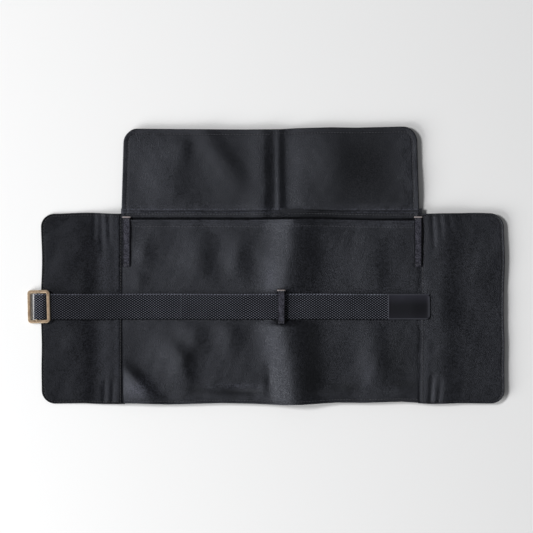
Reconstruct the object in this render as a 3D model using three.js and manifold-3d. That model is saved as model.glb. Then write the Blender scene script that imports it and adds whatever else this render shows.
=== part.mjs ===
// Art supply roll of dark cloth, unrolled with its outside up: a padded centre with sewn brush slots
// underneath, two side wings and a top flap that fold in, and a webbing strap with a slide buckle.
// Millimetres, +Z up, the table at z = 0. Sizes are laid out from the middle of the spine, and the
// finished roll is then centred on its own footprint.
import * as THREE from "three";
import { mergeVertices } from "three/addons/utils/BufferGeometryUtils.js";
import Module from "manifold-3d";

// Panels, as they lie flat
const SPINE_W = 15;
const LEFT_HALF_W = 151;
const RIGHT_HALF_W = 135;
const LEFT_WING_W = 79.5;
const RIGHT_WING_W = 82.7;
const RIGHT_WING_LIFT = 4.9; // free edge above the table
const PANEL_H = 190.6;
const WING_CORNER_R = 13.5;
const LEFT_FOLD_OUT = 13; // wing cloth between the seam and the line that it folds on
const RIGHT_FOLD_OUT = 15.5;

// Top flap
const FLAP_SEAM_RISE = 2.2; // flap seam above the wings' top edge
const FLAP_FOLD_OUT = 3; // fold line above the flap seam
const FLAP_REACH = 80.15;
const FLAP_LIFT = 4.7; // free edge above the table
const FLAP_TAPER = 2.3;
const FLAP_LEFT_INSET = 0.5;
const FLAP_RIGHT_INSET = 2.9;
const FLAP_CORNER_R = 14.5;

// Cloth and the room between the layers
const SLOT_T = 0.8;
const SLOT_ROOM = 4.5;
const LINING_T = 0.7;
const SHELL_T = 1.0;
const POCKET_T = 0.9;
const POCKET_SLACK = 0.6;
const CLEAR = 0.3;

// Brush slots sewn to the lining
const LEFT_SLOTS = 6;
const RIGHT_SLOTS = 5;
const SLOT_MARGIN = 4;
const SLOT_LAND = 4; // sewn strip between two slots
const SLOT_FLANK = 3.5;
const SLOT_HEM = 5;
const SLOT_TOE = 14; // where the slot opens out above its sewn end
const SLOT_DEPTH = 118;
const SLOT_FOOT_INSET = 2.3;

// Outer slip pocket
const POCKET_MOUTH_DROP = 7; // mouth below the flap seam
const POCKET_SIDE_INSET = 1.5;
const POCKET_FOOT_INSET = 0.6;

// Side loops and strap keeper, in folded tape
const TAPE_T = 0.9;
const TAPE_FOLD_R = 0.4;
const LOOP_W = 8;
const LOOP_L = 50;
const LOOP_ROOM = 4.5;
const LOOP_FOOT = 4.5;
const LOOP_RISE_RUN = 6;
const LOOP_TOP_DROP = 5.5; // loop's upper end below the flap seam
const LEFT_LOOP_INSET = 5.5; // loop's middle inside the seam
const RIGHT_LOOP_INSET = 3.9;
const KEEPER_W = 8;
const KEEPER_FOOT = 3;
const KEEPER_LEAN = 0.5;
const KEEPER_SHIFT = 1.8;
const KEEPER_ROOM = 1.2; // free width beside the webbing, at each edge

// Strap
const WEB_W = 25.5;
const WEB_T = 1.2;
const STRAP_RISE = 1.85; // strap's middle above the panels' middle
const TAIL_L = 84.5; // left seam to the buckle's bar
const TAIL_DROOP_DEG = 2.9;
const TAIL_RETURN = 32; // webbing turned back under itself
const TAIL_LOOP_RUN = 9;
const TIP_START = 99.7; // right crease to the tip's hinge line
const TIP_PATCH_L = 42;
const TIP_PATCH_T = 1.2;
const TIP_BORDER = 1.4;
const TIP_RECESS = 0.4;
const TIP_CORNER_R = 4;
const TIP_HEEL = 1.2; // bare webbing between the hinge line and the patch
const TIP_LIP = 0.8; // patch past the webbing's end

// Slide buckle
const BUCKLE_LEFT = 9.6; // bar to the outer end
const BUCKLE_RIGHT = 14.2;
const BUCKLE_WIRE = 3.4;
const BUCKLE_T = 2.6;
const BUCKLE_ROOM = 0.5; // beside the webbing
const BUCKLE_BEVEL = 0.7;
const BUCKLE_CORNER_R = 3.6;
const BUCKLE_CHAMFER = 3.2;
const BAR_R = 1.3;

// Levels of the layers
const zLining = SLOT_T + SLOT_ROOM;
const zShell = zLining + LINING_T + CLEAR;
const zShellTop = zShell + SHELL_T;
const zPocket = zShellTop + POCKET_SLACK;
const zPocketTop = zPocket + POCKET_T;
const zStrap = zPocketTop + CLEAR;
const zStrapTop = zStrap + WEB_T;

// Lines across the roll
const xCreaseL = -SPINE_W / 2;
const xCreaseR = SPINE_W / 2;
const xSeamL = xCreaseL - LEFT_HALF_W;
const xSeamR = xCreaseR + RIGHT_HALF_W;
const xFoldL = xSeamL - LEFT_FOLD_OUT;
const xFoldR = xSeamR + RIGHT_FOLD_OUT;
const xEdgeL = xSeamL - LEFT_WING_W;
const xEdgeR = xSeamR + RIGHT_WING_W;
const yTop = PANEL_H / 2;
const yBottom = -PANEL_H / 2;
const yFlapSeam = yTop + FLAP_SEAM_RISE;
const yFlapFold = yFlapSeam + FLAP_FOLD_OUT;
const yMouth = yFlapSeam - POCKET_MOUTH_DROP;

// Folded layers: the flap lies next to the slots and the wings lie on the folded flap
const zFlapAxis = (zLining - CLEAR) / 2;
const flapStack = LINING_T + CLEAR + SHELL_T;
const zWingAxis = (zLining - flapStack - 2 * CLEAR) / 2;

// Cloth that hangs from its fold line until its free edge is down to its height above the table
const droop = (reach, rise, axisZ, lift) =>
  Math.atan2(rise, reach) + Math.asin((axisZ - lift) / Math.hypot(reach, rise));
const flapDroop = droop(FLAP_REACH, zLining - zFlapAxis, zFlapAxis, FLAP_LIFT);
const leftDroop = droop(xFoldL - xEdgeL, zLining - zWingAxis, zWingAxis, 0);
const rightDroop = droop(xEdgeR - xFoldR, zLining - zWingAxis, zWingAxis, RIGHT_WING_LIFT);

const wasm = await Module();
wasm.setup();

const outerCloth = new THREE.MeshStandardMaterial({ color: 0x2d2e33, roughness: 0.62, metalness: 0 });
const liningCloth = new THREE.MeshStandardMaterial({ color: 0x3a3b40, roughness: 0.8, metalness: 0 });
const webbing = new THREE.MeshStandardMaterial({ color: 0x303136, roughness: 0.7, metalness: 0 });
const tape = new THREE.MeshStandardMaterial({ color: 0x3a3637, roughness: 0.66, metalness: 0 });
const tipLeather = new THREE.MeshStandardMaterial({ color: 0x26272b, roughness: 0.5, metalness: 0 });
const brass = new THREE.MeshStandardMaterial({ color: 0x7d6448, roughness: 0.38, metalness: 1 });

/** Adds one named piece to a group. */
function piece(group, name, geometry, material) {
  const mesh = new THREE.Mesh(geometry, material);
  mesh.name = name;
  group.add(mesh);
  return mesh;
}

/** Closed outline through [x, y, radius] corners, each rounded with a true arc. */
function outline(corners) {
  const shape = new THREE.Shape();
  corners.forEach(([x, y, radius = 0], i) => {
    const here = new THREE.Vector2(x, y);
    if (radius === 0) {
      if (i === 0) shape.moveTo(x, y);
      else shape.lineTo(x, y);
      return;
    }
    const [px, py] = corners[(i + corners.length - 1) % corners.length];
    const [nx, ny] = corners[(i + 1) % corners.length];
    const back = new THREE.Vector2(px, py).sub(here).normalize();
    const ahead = new THREE.Vector2(nx, ny).sub(here).normalize();
    const half = Math.acos(THREE.MathUtils.clamp(back.dot(ahead), -1, 1)) / 2;
    const centre = back.clone().add(ahead).normalize().multiplyScalar(radius / Math.sin(half)).add(here);
    const start = back.clone().multiplyScalar(radius / Math.tan(half)).add(here);
    const end = ahead.clone().multiplyScalar(radius / Math.tan(half)).add(here);
    if (i === 0) shape.moveTo(start.x, start.y);
    else shape.lineTo(start.x, start.y);
    const from = Math.atan2(start.y - centre.y, start.x - centre.x);
    const to = Math.atan2(end.y - centre.y, end.x - centre.x);
    shape.absarc(centre.x, centre.y, radius, from, to, back.cross(ahead) > 0);
  });
  shape.closePath();
  return shape;
}

/** Flat sheet of an outline, from z up by its thickness. */
function sheet(shape, z, thickness) {
  return new THREE.ExtrudeGeometry(shape, { depth: thickness, bevelEnabled: false, curveSegments: 8 })
    .translate(0, 0, z);
}

/** Rectangular sheet between two corners. */
function rectSheet(x0, x1, y0, y1, z, thickness) {
  return sheet(outline([[x0, y0], [x1, y0], [x1, y1], [x0, y1]]), z, thickness);
}

/** Section drawn in x and z, pulled along y. */
function alongY(section, y0, y1) {
  return new THREE.ExtrudeGeometry(section, { depth: y1 - y0, bevelEnabled: false })
    .rotateX(Math.PI / 2)
    .translate(0, y1, 0);
}

/** Section drawn in y and z, pulled along x. */
function alongX(section, x0, x1) {
  const turn = new THREE.Matrix4().makeBasis(
    new THREE.Vector3(0, 1, 0), new THREE.Vector3(0, 0, 1), new THREE.Vector3(1, 0, 0));
  return new THREE.ExtrudeGeometry(section, { depth: x1 - x0, bevelEnabled: false, curveSegments: 3 })
    .applyMatrix4(turn)
    .translate(x0, 0, 0);
}

/** Band of even thickness about a line of points. */
function band(points, thickness) {
  const sides = [[], []];
  points.forEach((point, i) => {
    const before = points[Math.max(i - 1, 0)];
    const after = points[Math.min(i + 1, points.length - 1)];
    const normal = new THREE.Vector2(before.y - after.y, after.x - before.x).normalize();
    sides[0].push(point.clone().addScaledVector(normal, -thickness / 2));
    sides[1].push(point.clone().addScaledVector(normal, thickness / 2));
  });
  return new THREE.Shape([...sides[0], ...sides[1].reverse()]);
}

/** Points of a soft step from one level to another. */
function ease(x0, z0, x1, z1, steps) {
  return Array.from({ length: steps + 1 }, (_, i) => {
    const t = i / steps;
    return new THREE.Vector2(x0 + (x1 - x0) * t, z0 + (z1 - z0) * (1 - Math.cos(Math.PI * t)) / 2);
  });
}

/** Tape sewn down at both ends and arched between them: a hat section with its walls leaning in by run. */
function tapeArch(length, foot, run, base, rise) {
  const reach = length / 2;
  const wall = reach - foot;
  const crown = wall - run;
  const lean = TAPE_T * Math.tan(Math.atan2(rise, run) / 2);
  const top = base + rise;
  return outline([
    [-reach, base], [-wall, base, TAPE_FOLD_R], [-crown, top, TAPE_FOLD_R],
    [crown, top, TAPE_FOLD_R], [wall, base, TAPE_FOLD_R], [reach, base],
    [reach, base + TAPE_T], [wall + lean, base + TAPE_T, TAPE_FOLD_R],
    [crown + lean, top + TAPE_T, TAPE_FOLD_R + TAPE_T], [-crown - lean, top + TAPE_T, TAPE_FOLD_R + TAPE_T],
    [-wall - lean, base + TAPE_T, TAPE_FOLD_R], [-reach, base + TAPE_T],
  ]);
}

/** Solid for a boolean, from a closed geometry. */
function solid(geometry) {
  const bare = geometry.clone();
  bare.deleteAttribute("normal");
  bare.deleteAttribute("uv");
  const merged = mergeVertices(bare.index ? bare.toNonIndexed() : bare, 1e-4);
  return new wasm.Manifold(new wasm.Mesh({
    numProp: 3,
    vertProperties: new Float32Array(merged.attributes.position.array),
    triVerts: new Uint32Array(merged.index.array),
  }));
}

/** Geometry of a finished boolean. */
function fromSolid(body) {
  const mesh = body.getMesh();
  const geometry = new THREE.BufferGeometry();
  geometry.setAttribute("position", new THREE.BufferAttribute(new Float32Array(mesh.vertProperties), 3));
  geometry.setIndex(new THREE.BufferAttribute(new Uint32Array(mesh.triVerts), 1));
  geometry.computeVertexNormals();
  return geometry;
}

/**
 * Slot panel: one cloth sewn to the lining along its lower hem and between the slots. Each slot swells
 * from its sewn toe to the open mouth, and its flat crest lies on the table.
 */
function slotPanel(x0, x1, count) {
  const pitch = (x1 - x0 - SLOT_LAND) / count;
  const sewn = zLining - CLEAR - SLOT_T;
  const columns = [[x0, 0]];
  for (let i = 0; i < count; i++) {
    const left = x0 + SLOT_LAND + i * pitch;
    const right = left + pitch - SLOT_LAND;
    columns.push([left, 0], [left + SLOT_FLANK, 1], [right - SLOT_FLANK, 1], [right, 0]);
  }
  columns.push([x1, 0]);
  const foot = yBottom + SLOT_FOOT_INSET;
  const rows = [
    [foot, 0],
    [foot + SLOT_HEM, 0],
    [foot + SLOT_HEM + SLOT_TOE / 2, 0.7],
    [foot + SLOT_HEM + SLOT_TOE, 1],
    [foot + SLOT_DEPTH, 1],
  ];
  const wide = columns.length;
  const vertices = [];
  for (const lift of [0, SLOT_T]) {
    for (const [y, open] of rows) {
      for (const [x, swell] of columns) vertices.push(x, y, sewn * (1 - open * swell) + lift);
    }
  }
  const under = (row, column) => row * wide + column;
  const over = (row, column) => (rows.length + row) * wide + column;
  const faces = [];
  const quad = (a, b, c, d) => faces.push(a, b, c, a, c, d);
  for (let r = 0; r + 1 < rows.length; r++) {
    for (let c = 0; c + 1 < wide; c++) {
      quad(under(r, c), under(r + 1, c), under(r + 1, c + 1), under(r, c + 1));
      quad(over(r, c), over(r, c + 1), over(r + 1, c + 1), over(r + 1, c));
    }
    quad(under(r, 0), over(r, 0), over(r + 1, 0), under(r + 1, 0));
    quad(under(r, wide - 1), under(r + 1, wide - 1), over(r + 1, wide - 1), over(r, wide - 1));
  }
  const last = rows.length - 1;
  for (let c = 0; c + 1 < wide; c++) {
    quad(under(0, c), under(0, c + 1), over(0, c + 1), over(0, c));
    quad(under(last, c), over(last, c), over(last, c + 1), under(last, c + 1));
  }
  const geometry = new THREE.BufferGeometry();
  geometry.setAttribute("position", new THREE.Float32BufferAttribute(vertices, 3));
  geometry.setIndex(faces);
  geometry.computeVertexNormals();
  return geometry;
}

/** Flap cloth between two side lines, each given at the fold and at the free edge, with rounded free corners. */
function flapOutline(left, right) {
  const base = CLEAR;
  const end = FLAP_REACH;
  return outline([
    [left.fold, base],
    [right.fold, base],
    [right.free, end, right.corner],
    [left.free, end, left.corner],
  ]);
}

const roll = new THREE.Group();

// Spine: back panel, lining and the slip pocket's middle, with the strap keeper sewn on top
const spine = new THREE.Group();
roll.add(spine);
const spineX0 = xCreaseL + CLEAR;
const spineX1 = xCreaseR - CLEAR;
const yBackTop = yFlapFold - CLEAR;
piece(spine, "spine_lining", rectSheet(spineX0, spineX1, yBottom, yBackTop, zLining, LINING_T), liningCloth);
piece(spine, "spine_back_panel", rectSheet(spineX0, spineX1, yBottom, yBackTop, zShell, SHELL_T), outerCloth);
piece(spine, "spine_outer_pocket",
  rectSheet(spineX0, spineX1, yBottom + POCKET_FOOT_INSET, yMouth, zPocket, POCKET_T), outerCloth);
const keeperLength = WEB_W + 2 * (KEEPER_ROOM + KEEPER_FOOT);
const keeper = piece(spine, "strap_keeper",
  alongX(tapeArch(keeperLength, KEEPER_FOOT, KEEPER_LEAN, zPocketTop + CLEAR, WEB_T + CLEAR),
    -KEEPER_W / 2, KEEPER_W / 2), tape);
keeper.position.set(KEEPER_SHIFT, STRAP_RISE, 0);

/** One half of the centre: side is -1 for the left and +1 for the right. */
function half(name, side, crease, seam, fold, slots, loopInset) {
  const group = new THREE.Group();
  roll.add(group);
  const span = (a, b) => [Math.min(a, b), Math.max(a, b)];
  const inner = crease + side * CLEAR;
  const [bx0, bx1] = span(inner, seam - side * CLEAR / 2);
  const [gx0, gx1] = span(seam + side * CLEAR / 2, fold - side * CLEAR);
  const [sx0, sx1] = span(crease + side * SLOT_MARGIN, seam - side * SLOT_MARGIN);
  const [px0, px1] = span(inner, seam - side * POCKET_SIDE_INSET);
  piece(group, `${name}_slot_pocket`, slotPanel(sx0, sx1, slots), liningCloth);
  const lining = [
    [inner, yBottom], [fold - side * CLEAR, yBottom], [fold - side * CLEAR, yTop],
    [seam, yTop], [seam, yBackTop], [inner, yBackTop],
  ];
  piece(group, `${name}_lining`,
    sheet(outline(side > 0 ? lining : lining.reverse()), zLining, LINING_T), liningCloth);
  piece(group, `${name}_back_panel`, rectSheet(bx0, bx1, yBottom, yBackTop, zShell, SHELL_T), outerCloth);
  piece(group, `${name}_gusset`, rectSheet(gx0, gx1, yBottom, yTop, zShell, SHELL_T), outerCloth);
  piece(group, `${name}_outer_pocket`,
    rectSheet(px0, px1, yBottom + POCKET_FOOT_INSET, yMouth, zPocket, POCKET_T), outerCloth);
  const loop = piece(group, `${name}_side_loop`,
    alongX(tapeArch(LOOP_L, LOOP_FOOT, LOOP_RISE_RUN, zPocketTop + CLEAR, LOOP_ROOM - CLEAR),
      -LOOP_W / 2, LOOP_W / 2), tape);
  loop.position.set(seam - side * loopInset, yFlapSeam - LOOP_TOP_DROP - LOOP_L / 2, 0);
  return group;
}

half("left", -1, xCreaseL, xSeamL, xFoldL, LEFT_SLOTS, LEFT_LOOP_INSET);
half("right", 1, xCreaseR, xSeamR, xFoldR, RIGHT_SLOTS, RIGHT_LOOP_INSET);

/** One wing, hung on its fold line. */
function wing(name, side, fold, edge, angle) {
  const group = new THREE.Group();
  group.position.set(fold, 0, zWingAxis);
  group.rotation.y = side * angle;
  roll.add(group);
  const reach = edge - fold;
  const corners = [
    [side * CLEAR, yBottom], [reach, yBottom, WING_CORNER_R],
    [reach, yTop, WING_CORNER_R], [side * CLEAR, yTop],
  ];
  const shape = outline(side > 0 ? corners : corners.reverse());
  piece(group, `${name}_wing_lining`, sheet(shape, zLining - zWingAxis, LINING_T), liningCloth);
  piece(group, `${name}_wing_shell`, sheet(shape, zShell - zWingAxis, SHELL_T), outerCloth);
}

wing("left", -1, xFoldL, xEdgeL, leftDroop);
wing("right", 1, xFoldR, xEdgeR, rightDroop);

// Flap in three fields with pressed creases that continue the spine's. A crease's groove is as wide as
// the folded layers need when the halves close round the spine.
const flap = new THREE.Group();
flap.position.set(0, yFlapFold, zFlapAxis);
flap.rotation.x = -flapDroop;
roll.add(flap);
const creaseLining = LINING_T + 2 * CLEAR;
const creaseShell = flapStack + 2 * CLEAR;
const leftSide = { fold: xSeamL + FLAP_LEFT_INSET, free: xSeamL + FLAP_LEFT_INSET + FLAP_TAPER,
  corner: FLAP_CORNER_R };
const rightSide = { fold: xSeamR - FLAP_RIGHT_INSET, free: xSeamR - FLAP_RIGHT_INSET - FLAP_TAPER,
  corner: FLAP_CORNER_R };
const straight = (x) => ({ fold: x, free: x, corner: 0 });
const layers = [
  { name: "lining", z: zLining - zFlapAxis, t: LINING_T, outside: CLEAR, inside: creaseLining,
    material: liningCloth },
  { name: "shell", z: zShell - zFlapAxis, t: SHELL_T, outside: creaseLining, inside: creaseShell,
    material: outerCloth },
];
for (const { name, z, t, outside, inside, material } of layers) {
  piece(flap, `flap_${name}_left`,
    sheet(flapOutline(leftSide, straight(xCreaseL - outside)), z, t), material);
  piece(flap, `flap_${name}_mid`,
    sheet(flapOutline(straight(xCreaseL + inside), straight(xCreaseR - inside)), z, t), material);
  piece(flap, `flap_${name}_right`,
    sheet(flapOutline(straight(xCreaseR + outside), rightSide), z, t), material);
}

// Strap: three runs that bend with the spine, a tail that ends round the buckle's bar, and a tip
const strap = new THREE.Group();
strap.position.set(0, STRAP_RISE, 0);
roll.add(strap);
const xTipHinge = xCreaseR + TIP_START;
const run = (x0, x1) => rectSheet(x0, x1, -WEB_W / 2, WEB_W / 2, zStrap, WEB_T);
piece(strap, "strap_left", run(xSeamL + CLEAR, xCreaseL - CLEAR), webbing);
piece(strap, "strap_mid", run(xCreaseL + CLEAR, xCreaseR - CLEAR), webbing);
piece(strap, "strap_right", run(xCreaseR + CLEAR, xTipHinge - CLEAR), webbing);

const tail = new THREE.Group();
tail.position.set(xSeamL, 0, zStrapTop);
tail.rotation.y = -THREE.MathUtils.degToRad(TAIL_DROOP_DEG);
strap.add(tail);
const zMain = -WEB_T / 2;
const zReturn = zMain - WEB_T - CLEAR;
const zBar = (zMain + zReturn) / 2;
const turnR = BAR_R + CLEAR + WEB_T / 2;
const turn = Array.from({ length: 9 }, (_, i) => {
  const angle = Math.PI / 2 + (i + 1) * Math.PI / 10;
  return new THREE.Vector2(-TAIL_L + turnR * Math.cos(angle), zBar + turnR * Math.sin(angle));
});
piece(tail, "strap_tail", alongY(band([
  new THREE.Vector2(-CLEAR, zMain),
  ...ease(-TAIL_L + TAIL_LOOP_RUN, zMain, -TAIL_L, zBar + turnR, 6),
  ...turn,
  ...ease(-TAIL_L, zBar - turnR, -TAIL_L + TAIL_LOOP_RUN, zReturn, 6),
  new THREE.Vector2(-TAIL_L + TAIL_RETURN, zReturn),
], WEB_T), -WEB_W / 2, WEB_W / 2), webbing);

const tip = new THREE.Group();
tip.position.set(xTipHinge, 0, zStrapTop);
strap.add(tip);
const tipEnd = TIP_HEEL + TIP_PATCH_L;
const tipPlan = (x0, x1, inset, radius) => outline([
  [x0 + inset, -WEB_W / 2 + inset], [x1 - inset, -WEB_W / 2 + inset, radius],
  [x1 - inset, WEB_W / 2 - inset, radius], [x0 + inset, WEB_W / 2 - inset],
]);
piece(tip, "strap_tip_webbing",
  sheet(tipPlan(CLEAR, tipEnd - TIP_LIP, 0, TIP_CORNER_R - TIP_LIP), -WEB_T, WEB_T), webbing);
const patchBlank = sheet(tipPlan(TIP_HEEL, tipEnd, 0, TIP_CORNER_R), CLEAR, TIP_PATCH_T);
const patchField = sheet(tipPlan(TIP_HEEL, tipEnd, TIP_BORDER, TIP_CORNER_R - TIP_BORDER),
  CLEAR + TIP_PATCH_T - TIP_RECESS, TIP_PATCH_T);
piece(tip, "strap_tip_patch", fromSolid(solid(patchBlank).subtract(solid(patchField))), tipLeather);

// Slide buckle: a bevelled frame with its bar in the webbing's turn, tipped so that its inner end lies
// on the strap
const buckle = new THREE.Group();
const innerReach = BUCKLE_RIGHT - BUCKLE_WIRE;
const overStrap = CLEAR - zBar;
buckle.position.set(-TAIL_L, 0, zBar);
buckle.rotation.y = -(Math.asin(overStrap / Math.hypot(innerReach, BUCKLE_T / 2))
  + Math.atan2(BUCKLE_T / 2, innerReach));
tail.add(buckle);
const buckleH = WEB_W + 2 * (BUCKLE_ROOM + BUCKLE_WIRE);
const b = BUCKLE_BEVEL;
const frame = outline([
  [-BUCKLE_LEFT + b, -buckleH / 2 + b, BUCKLE_CORNER_R],
  [BUCKLE_RIGHT - BUCKLE_CHAMFER, -buckleH / 2 + b],
  [BUCKLE_RIGHT - b, -buckleH / 2 + BUCKLE_CHAMFER],
  [BUCKLE_RIGHT - b, buckleH / 2 - BUCKLE_CHAMFER],
  [BUCKLE_RIGHT - BUCKLE_CHAMFER, buckleH / 2 - b],
  [-BUCKLE_LEFT + b, buckleH / 2 - b, BUCKLE_CORNER_R],
]);
const w = BUCKLE_WIRE - b;
frame.holes.push(outline([
  [-BUCKLE_LEFT + w, -buckleH / 2 + w, BUCKLE_WIRE / 3],
  [-BUCKLE_LEFT + w, buckleH / 2 - w, BUCKLE_WIRE / 3],
  [BUCKLE_RIGHT - w, buckleH / 2 - w, BUCKLE_WIRE / 3],
  [BUCKLE_RIGHT - w, -buckleH / 2 + w, BUCKLE_WIRE / 3],
]));
const ring = new THREE.ExtrudeGeometry(frame, {
  depth: BUCKLE_T - 2 * b, bevelEnabled: true, bevelThickness: b, bevelSize: b, bevelSegments: 2, curveSegments: 5,
}).translate(0, 0, b - BUCKLE_T / 2);
const bar = new THREE.CylinderGeometry(BAR_R, BAR_R, buckleH - BUCKLE_WIRE, 14);
piece(buckle, "slide_buckle", fromSolid(solid(ring).add(solid(bar))), brass);

// The origin is the middle of the roll's footprint, on the table
roll.updateMatrixWorld(true);
const footprint = new THREE.Box3().setFromObject(roll, true).getCenter(new THREE.Vector3());
roll.position.set(-footprint.x, -footprint.y, 0);

export default roll;
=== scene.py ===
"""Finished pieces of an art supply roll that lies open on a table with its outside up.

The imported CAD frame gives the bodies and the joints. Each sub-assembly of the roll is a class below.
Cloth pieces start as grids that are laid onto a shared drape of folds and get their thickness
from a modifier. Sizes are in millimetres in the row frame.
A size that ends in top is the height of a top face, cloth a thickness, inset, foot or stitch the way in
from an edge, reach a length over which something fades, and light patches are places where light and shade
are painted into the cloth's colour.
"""

import logging
import math
from collections.abc import Callable, Sequence
from dataclasses import dataclass, field, replace
from enum import Enum
from functools import partial

import bmesh
import bpy
import numpy as np
from mathutils import Matrix, Vector

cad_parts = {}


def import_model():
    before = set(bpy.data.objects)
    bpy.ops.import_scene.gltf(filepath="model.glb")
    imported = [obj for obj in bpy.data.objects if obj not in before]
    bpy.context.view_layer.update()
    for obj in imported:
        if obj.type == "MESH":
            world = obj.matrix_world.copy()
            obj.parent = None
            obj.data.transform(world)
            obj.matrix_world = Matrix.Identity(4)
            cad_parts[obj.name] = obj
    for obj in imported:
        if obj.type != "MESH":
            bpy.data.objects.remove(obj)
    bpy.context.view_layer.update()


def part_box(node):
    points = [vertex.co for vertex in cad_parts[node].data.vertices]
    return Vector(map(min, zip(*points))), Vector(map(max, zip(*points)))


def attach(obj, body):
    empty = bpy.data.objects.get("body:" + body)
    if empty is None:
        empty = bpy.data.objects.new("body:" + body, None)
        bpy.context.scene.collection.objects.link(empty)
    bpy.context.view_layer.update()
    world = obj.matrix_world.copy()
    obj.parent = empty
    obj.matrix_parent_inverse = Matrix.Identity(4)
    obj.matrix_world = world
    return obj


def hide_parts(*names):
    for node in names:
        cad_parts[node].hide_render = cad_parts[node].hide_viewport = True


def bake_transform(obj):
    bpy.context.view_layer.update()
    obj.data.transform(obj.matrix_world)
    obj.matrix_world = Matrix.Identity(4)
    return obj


MM = 0.001
log = logging.getLogger("art_supply_roll")

Array = np.ndarray
Point = tuple[float, float]
Colour = tuple[float, float, float]
Surface = Callable[[Array, Array], Array]
Wave = Callable[[Array], Array]
Lines = Sequence[Sequence[Point]]
Piece = bpy.types.Object
Material = bpy.types.Material
Group = bpy.types.NodeTree
Socket = bpy.types.NodeSocket


class Side(Enum):
    """A side of a cloth panel, or of the roll, as seen from above."""

    LEFT = "left"
    RIGHT = "right"
    FOOT = "foot"
    HEAD = "head"

    @property
    def sign(self) -> float:
        """Which way the side lies: -1 for left and foot, 1 for right and head."""
        return -1.0 if self in (Side.LEFT, Side.FOOT) else 1.0


HALVES = (Side.LEFT, Side.RIGHT)


class Slot(Enum):
    """The record's material slots."""

    OUTER = "outer_cloth"
    LINING = "lining_cloth"
    WEBBING = "webbing"
    TAPE = "tape"
    TIP = "tip_leather"
    BUCKLE = "buckle_metal"


def smooth(low: float, high: float, value: Array) -> Array:
    """Eases from 0 at low to 1 at high."""
    t = np.clip((value - low) / (high - low), 0.0, 1.0)
    return t * t * (3.0 - 2.0 * t)


def bell(value: Array, reach: float | Array) -> Array:
    """Returns a soft hump: 1 at 0, and faded out past a reach."""
    return np.exp(-((value / reach) ** 2))


def fade(reach: float, value: Array) -> Array:
    """Eases from 1 at 0 to 0 at a reach."""
    return 1.0 - smooth(0.0, reach, value)


def deselect_all() -> None:
    """Leaves edit mode and deselects every object."""
    if bpy.context.object is not None and bpy.context.object.mode != "OBJECT":
        bpy.ops.object.mode_set(mode="OBJECT")
    bpy.ops.object.select_all(action="DESELECT")


def pick(obj: Piece) -> None:
    """Makes one object the only selected and the active one.

    Args:
        obj: The object.
    """
    deselect_all()
    obj.select_set(True)
    bpy.context.view_layer.objects.active = obj


def name_active(name: str) -> Piece:
    """Names the object that was just added.

    Args:
        name: The name of the object and of its mesh.

    Returns:
        The object.
    """
    obj = bpy.context.active_object
    obj.name = name
    obj.data.name = name
    return obj


def apply_modifier(obj: Piece, kind: str, **settings: object) -> None:
    """Adds a modifier and applies it at once.

    Args:
        obj: The piece to finish.
        kind: The modifier's type.
        settings: Its values by name.
    """
    modifier = obj.modifiers.new(kind.lower(), kind)
    for name, value in settings.items():
        setattr(modifier, name, value)
    pick(obj)
    bpy.ops.object.modifier_apply(modifier=modifier.name)


def bevel_edges(obj: Piece, width: float, segments: int, degrees: float) -> None:
    """Rounds the edges of a piece that are sharper than an angle."""
    limit = math.radians(degrees)
    apply_modifier(obj, "BEVEL", width=width, segments=segments, limit_method="ANGLE", angle_limit=limit)


def select_where(obj: Piece, kind: str, test: Callable[..., bool]) -> None:
    """Selects, in edit mode, the elements of a piece that pass a test.

    Args:
        obj: The piece.
        kind: VERT or EDGE.
        test: Says of each element whether it is selected.
    """
    bpy.ops.mesh.select_mode(type=kind)
    bpy.ops.mesh.select_all(action="DESELECT")
    mesh = bmesh.from_edit_mesh(obj.data)
    for element in mesh.verts if kind == "VERT" else mesh.edges:
        element.select = test(element)
    bmesh.update_edit_mesh(obj.data)


def face_outwards() -> None:
    """Turns every face of the piece in edit mode outwards and leaves edit mode."""
    bpy.ops.mesh.select_all(action="SELECT")
    bpy.ops.mesh.normals_make_consistent(inside=False)
    bpy.ops.object.mode_set(mode="OBJECT")


def open_plane(name: str, length: float, width: float, place: tuple[float, float, float]) -> Piece:
    """Adds a plane and opens it in edit mode.

    Args:
        name: The piece's name.
        length: Its size along X.
        width: Its size along Y.
        place: Its middle.

    Returns:
        The plane.
    """
    deselect_all()
    bpy.ops.mesh.primitive_plane_add(size=1.0, location=place)
    obj = name_active(name)
    obj.scale = (length, width, 1.0)
    bpy.ops.object.transform_apply(location=True, rotation=False, scale=True)
    bpy.ops.object.mode_set(mode="EDIT")
    return obj


def raise_faces(height: float) -> None:
    """Selects every face of the piece in edit mode and extrudes them upwards."""
    bpy.ops.mesh.select_all(action="SELECT")
    bpy.ops.mesh.extrude_region_move(TRANSFORM_OT_translate={"value": (0.0, 0.0, height)})


def read_points(obj: Piece) -> Array:
    """Reads an object's vertices.

    Args:
        obj: The object.

    Returns:
        Rows of places.
    """
    points = np.empty(len(obj.data.vertices) * 3)
    obj.data.vertices.foreach_get("co", points)
    return points.reshape(-1, 3)


def write_points(obj: Piece, points: Array) -> None:
    """Moves the object's vertices to the rows of an array."""
    obj.data.vertices.foreach_set("co", points.ravel())
    obj.data.update()


def shade(obj: Piece, degrees: float = 40.0) -> None:
    """Shades the object smooth and keeps edges sharper than an angle."""
    pick(obj)
    bpy.ops.object.shade_smooth_by_angle(angle=math.radians(degrees))


def dress(obj: Piece, material: Material, slot: Slot) -> None:
    """Gives a piece its material.

    Args:
        obj: The piece.
        material: Its material.
        slot: The record's slot that it belongs to; not used.
    """
    obj.data.materials.clear()
    obj.data.materials.append(material)


def node_corners(node: str) -> tuple[Vector, Vector]:
    """Returns the low and the high corner of a CAD node."""
    low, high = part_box(node)
    return low / MM, high / MM


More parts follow.
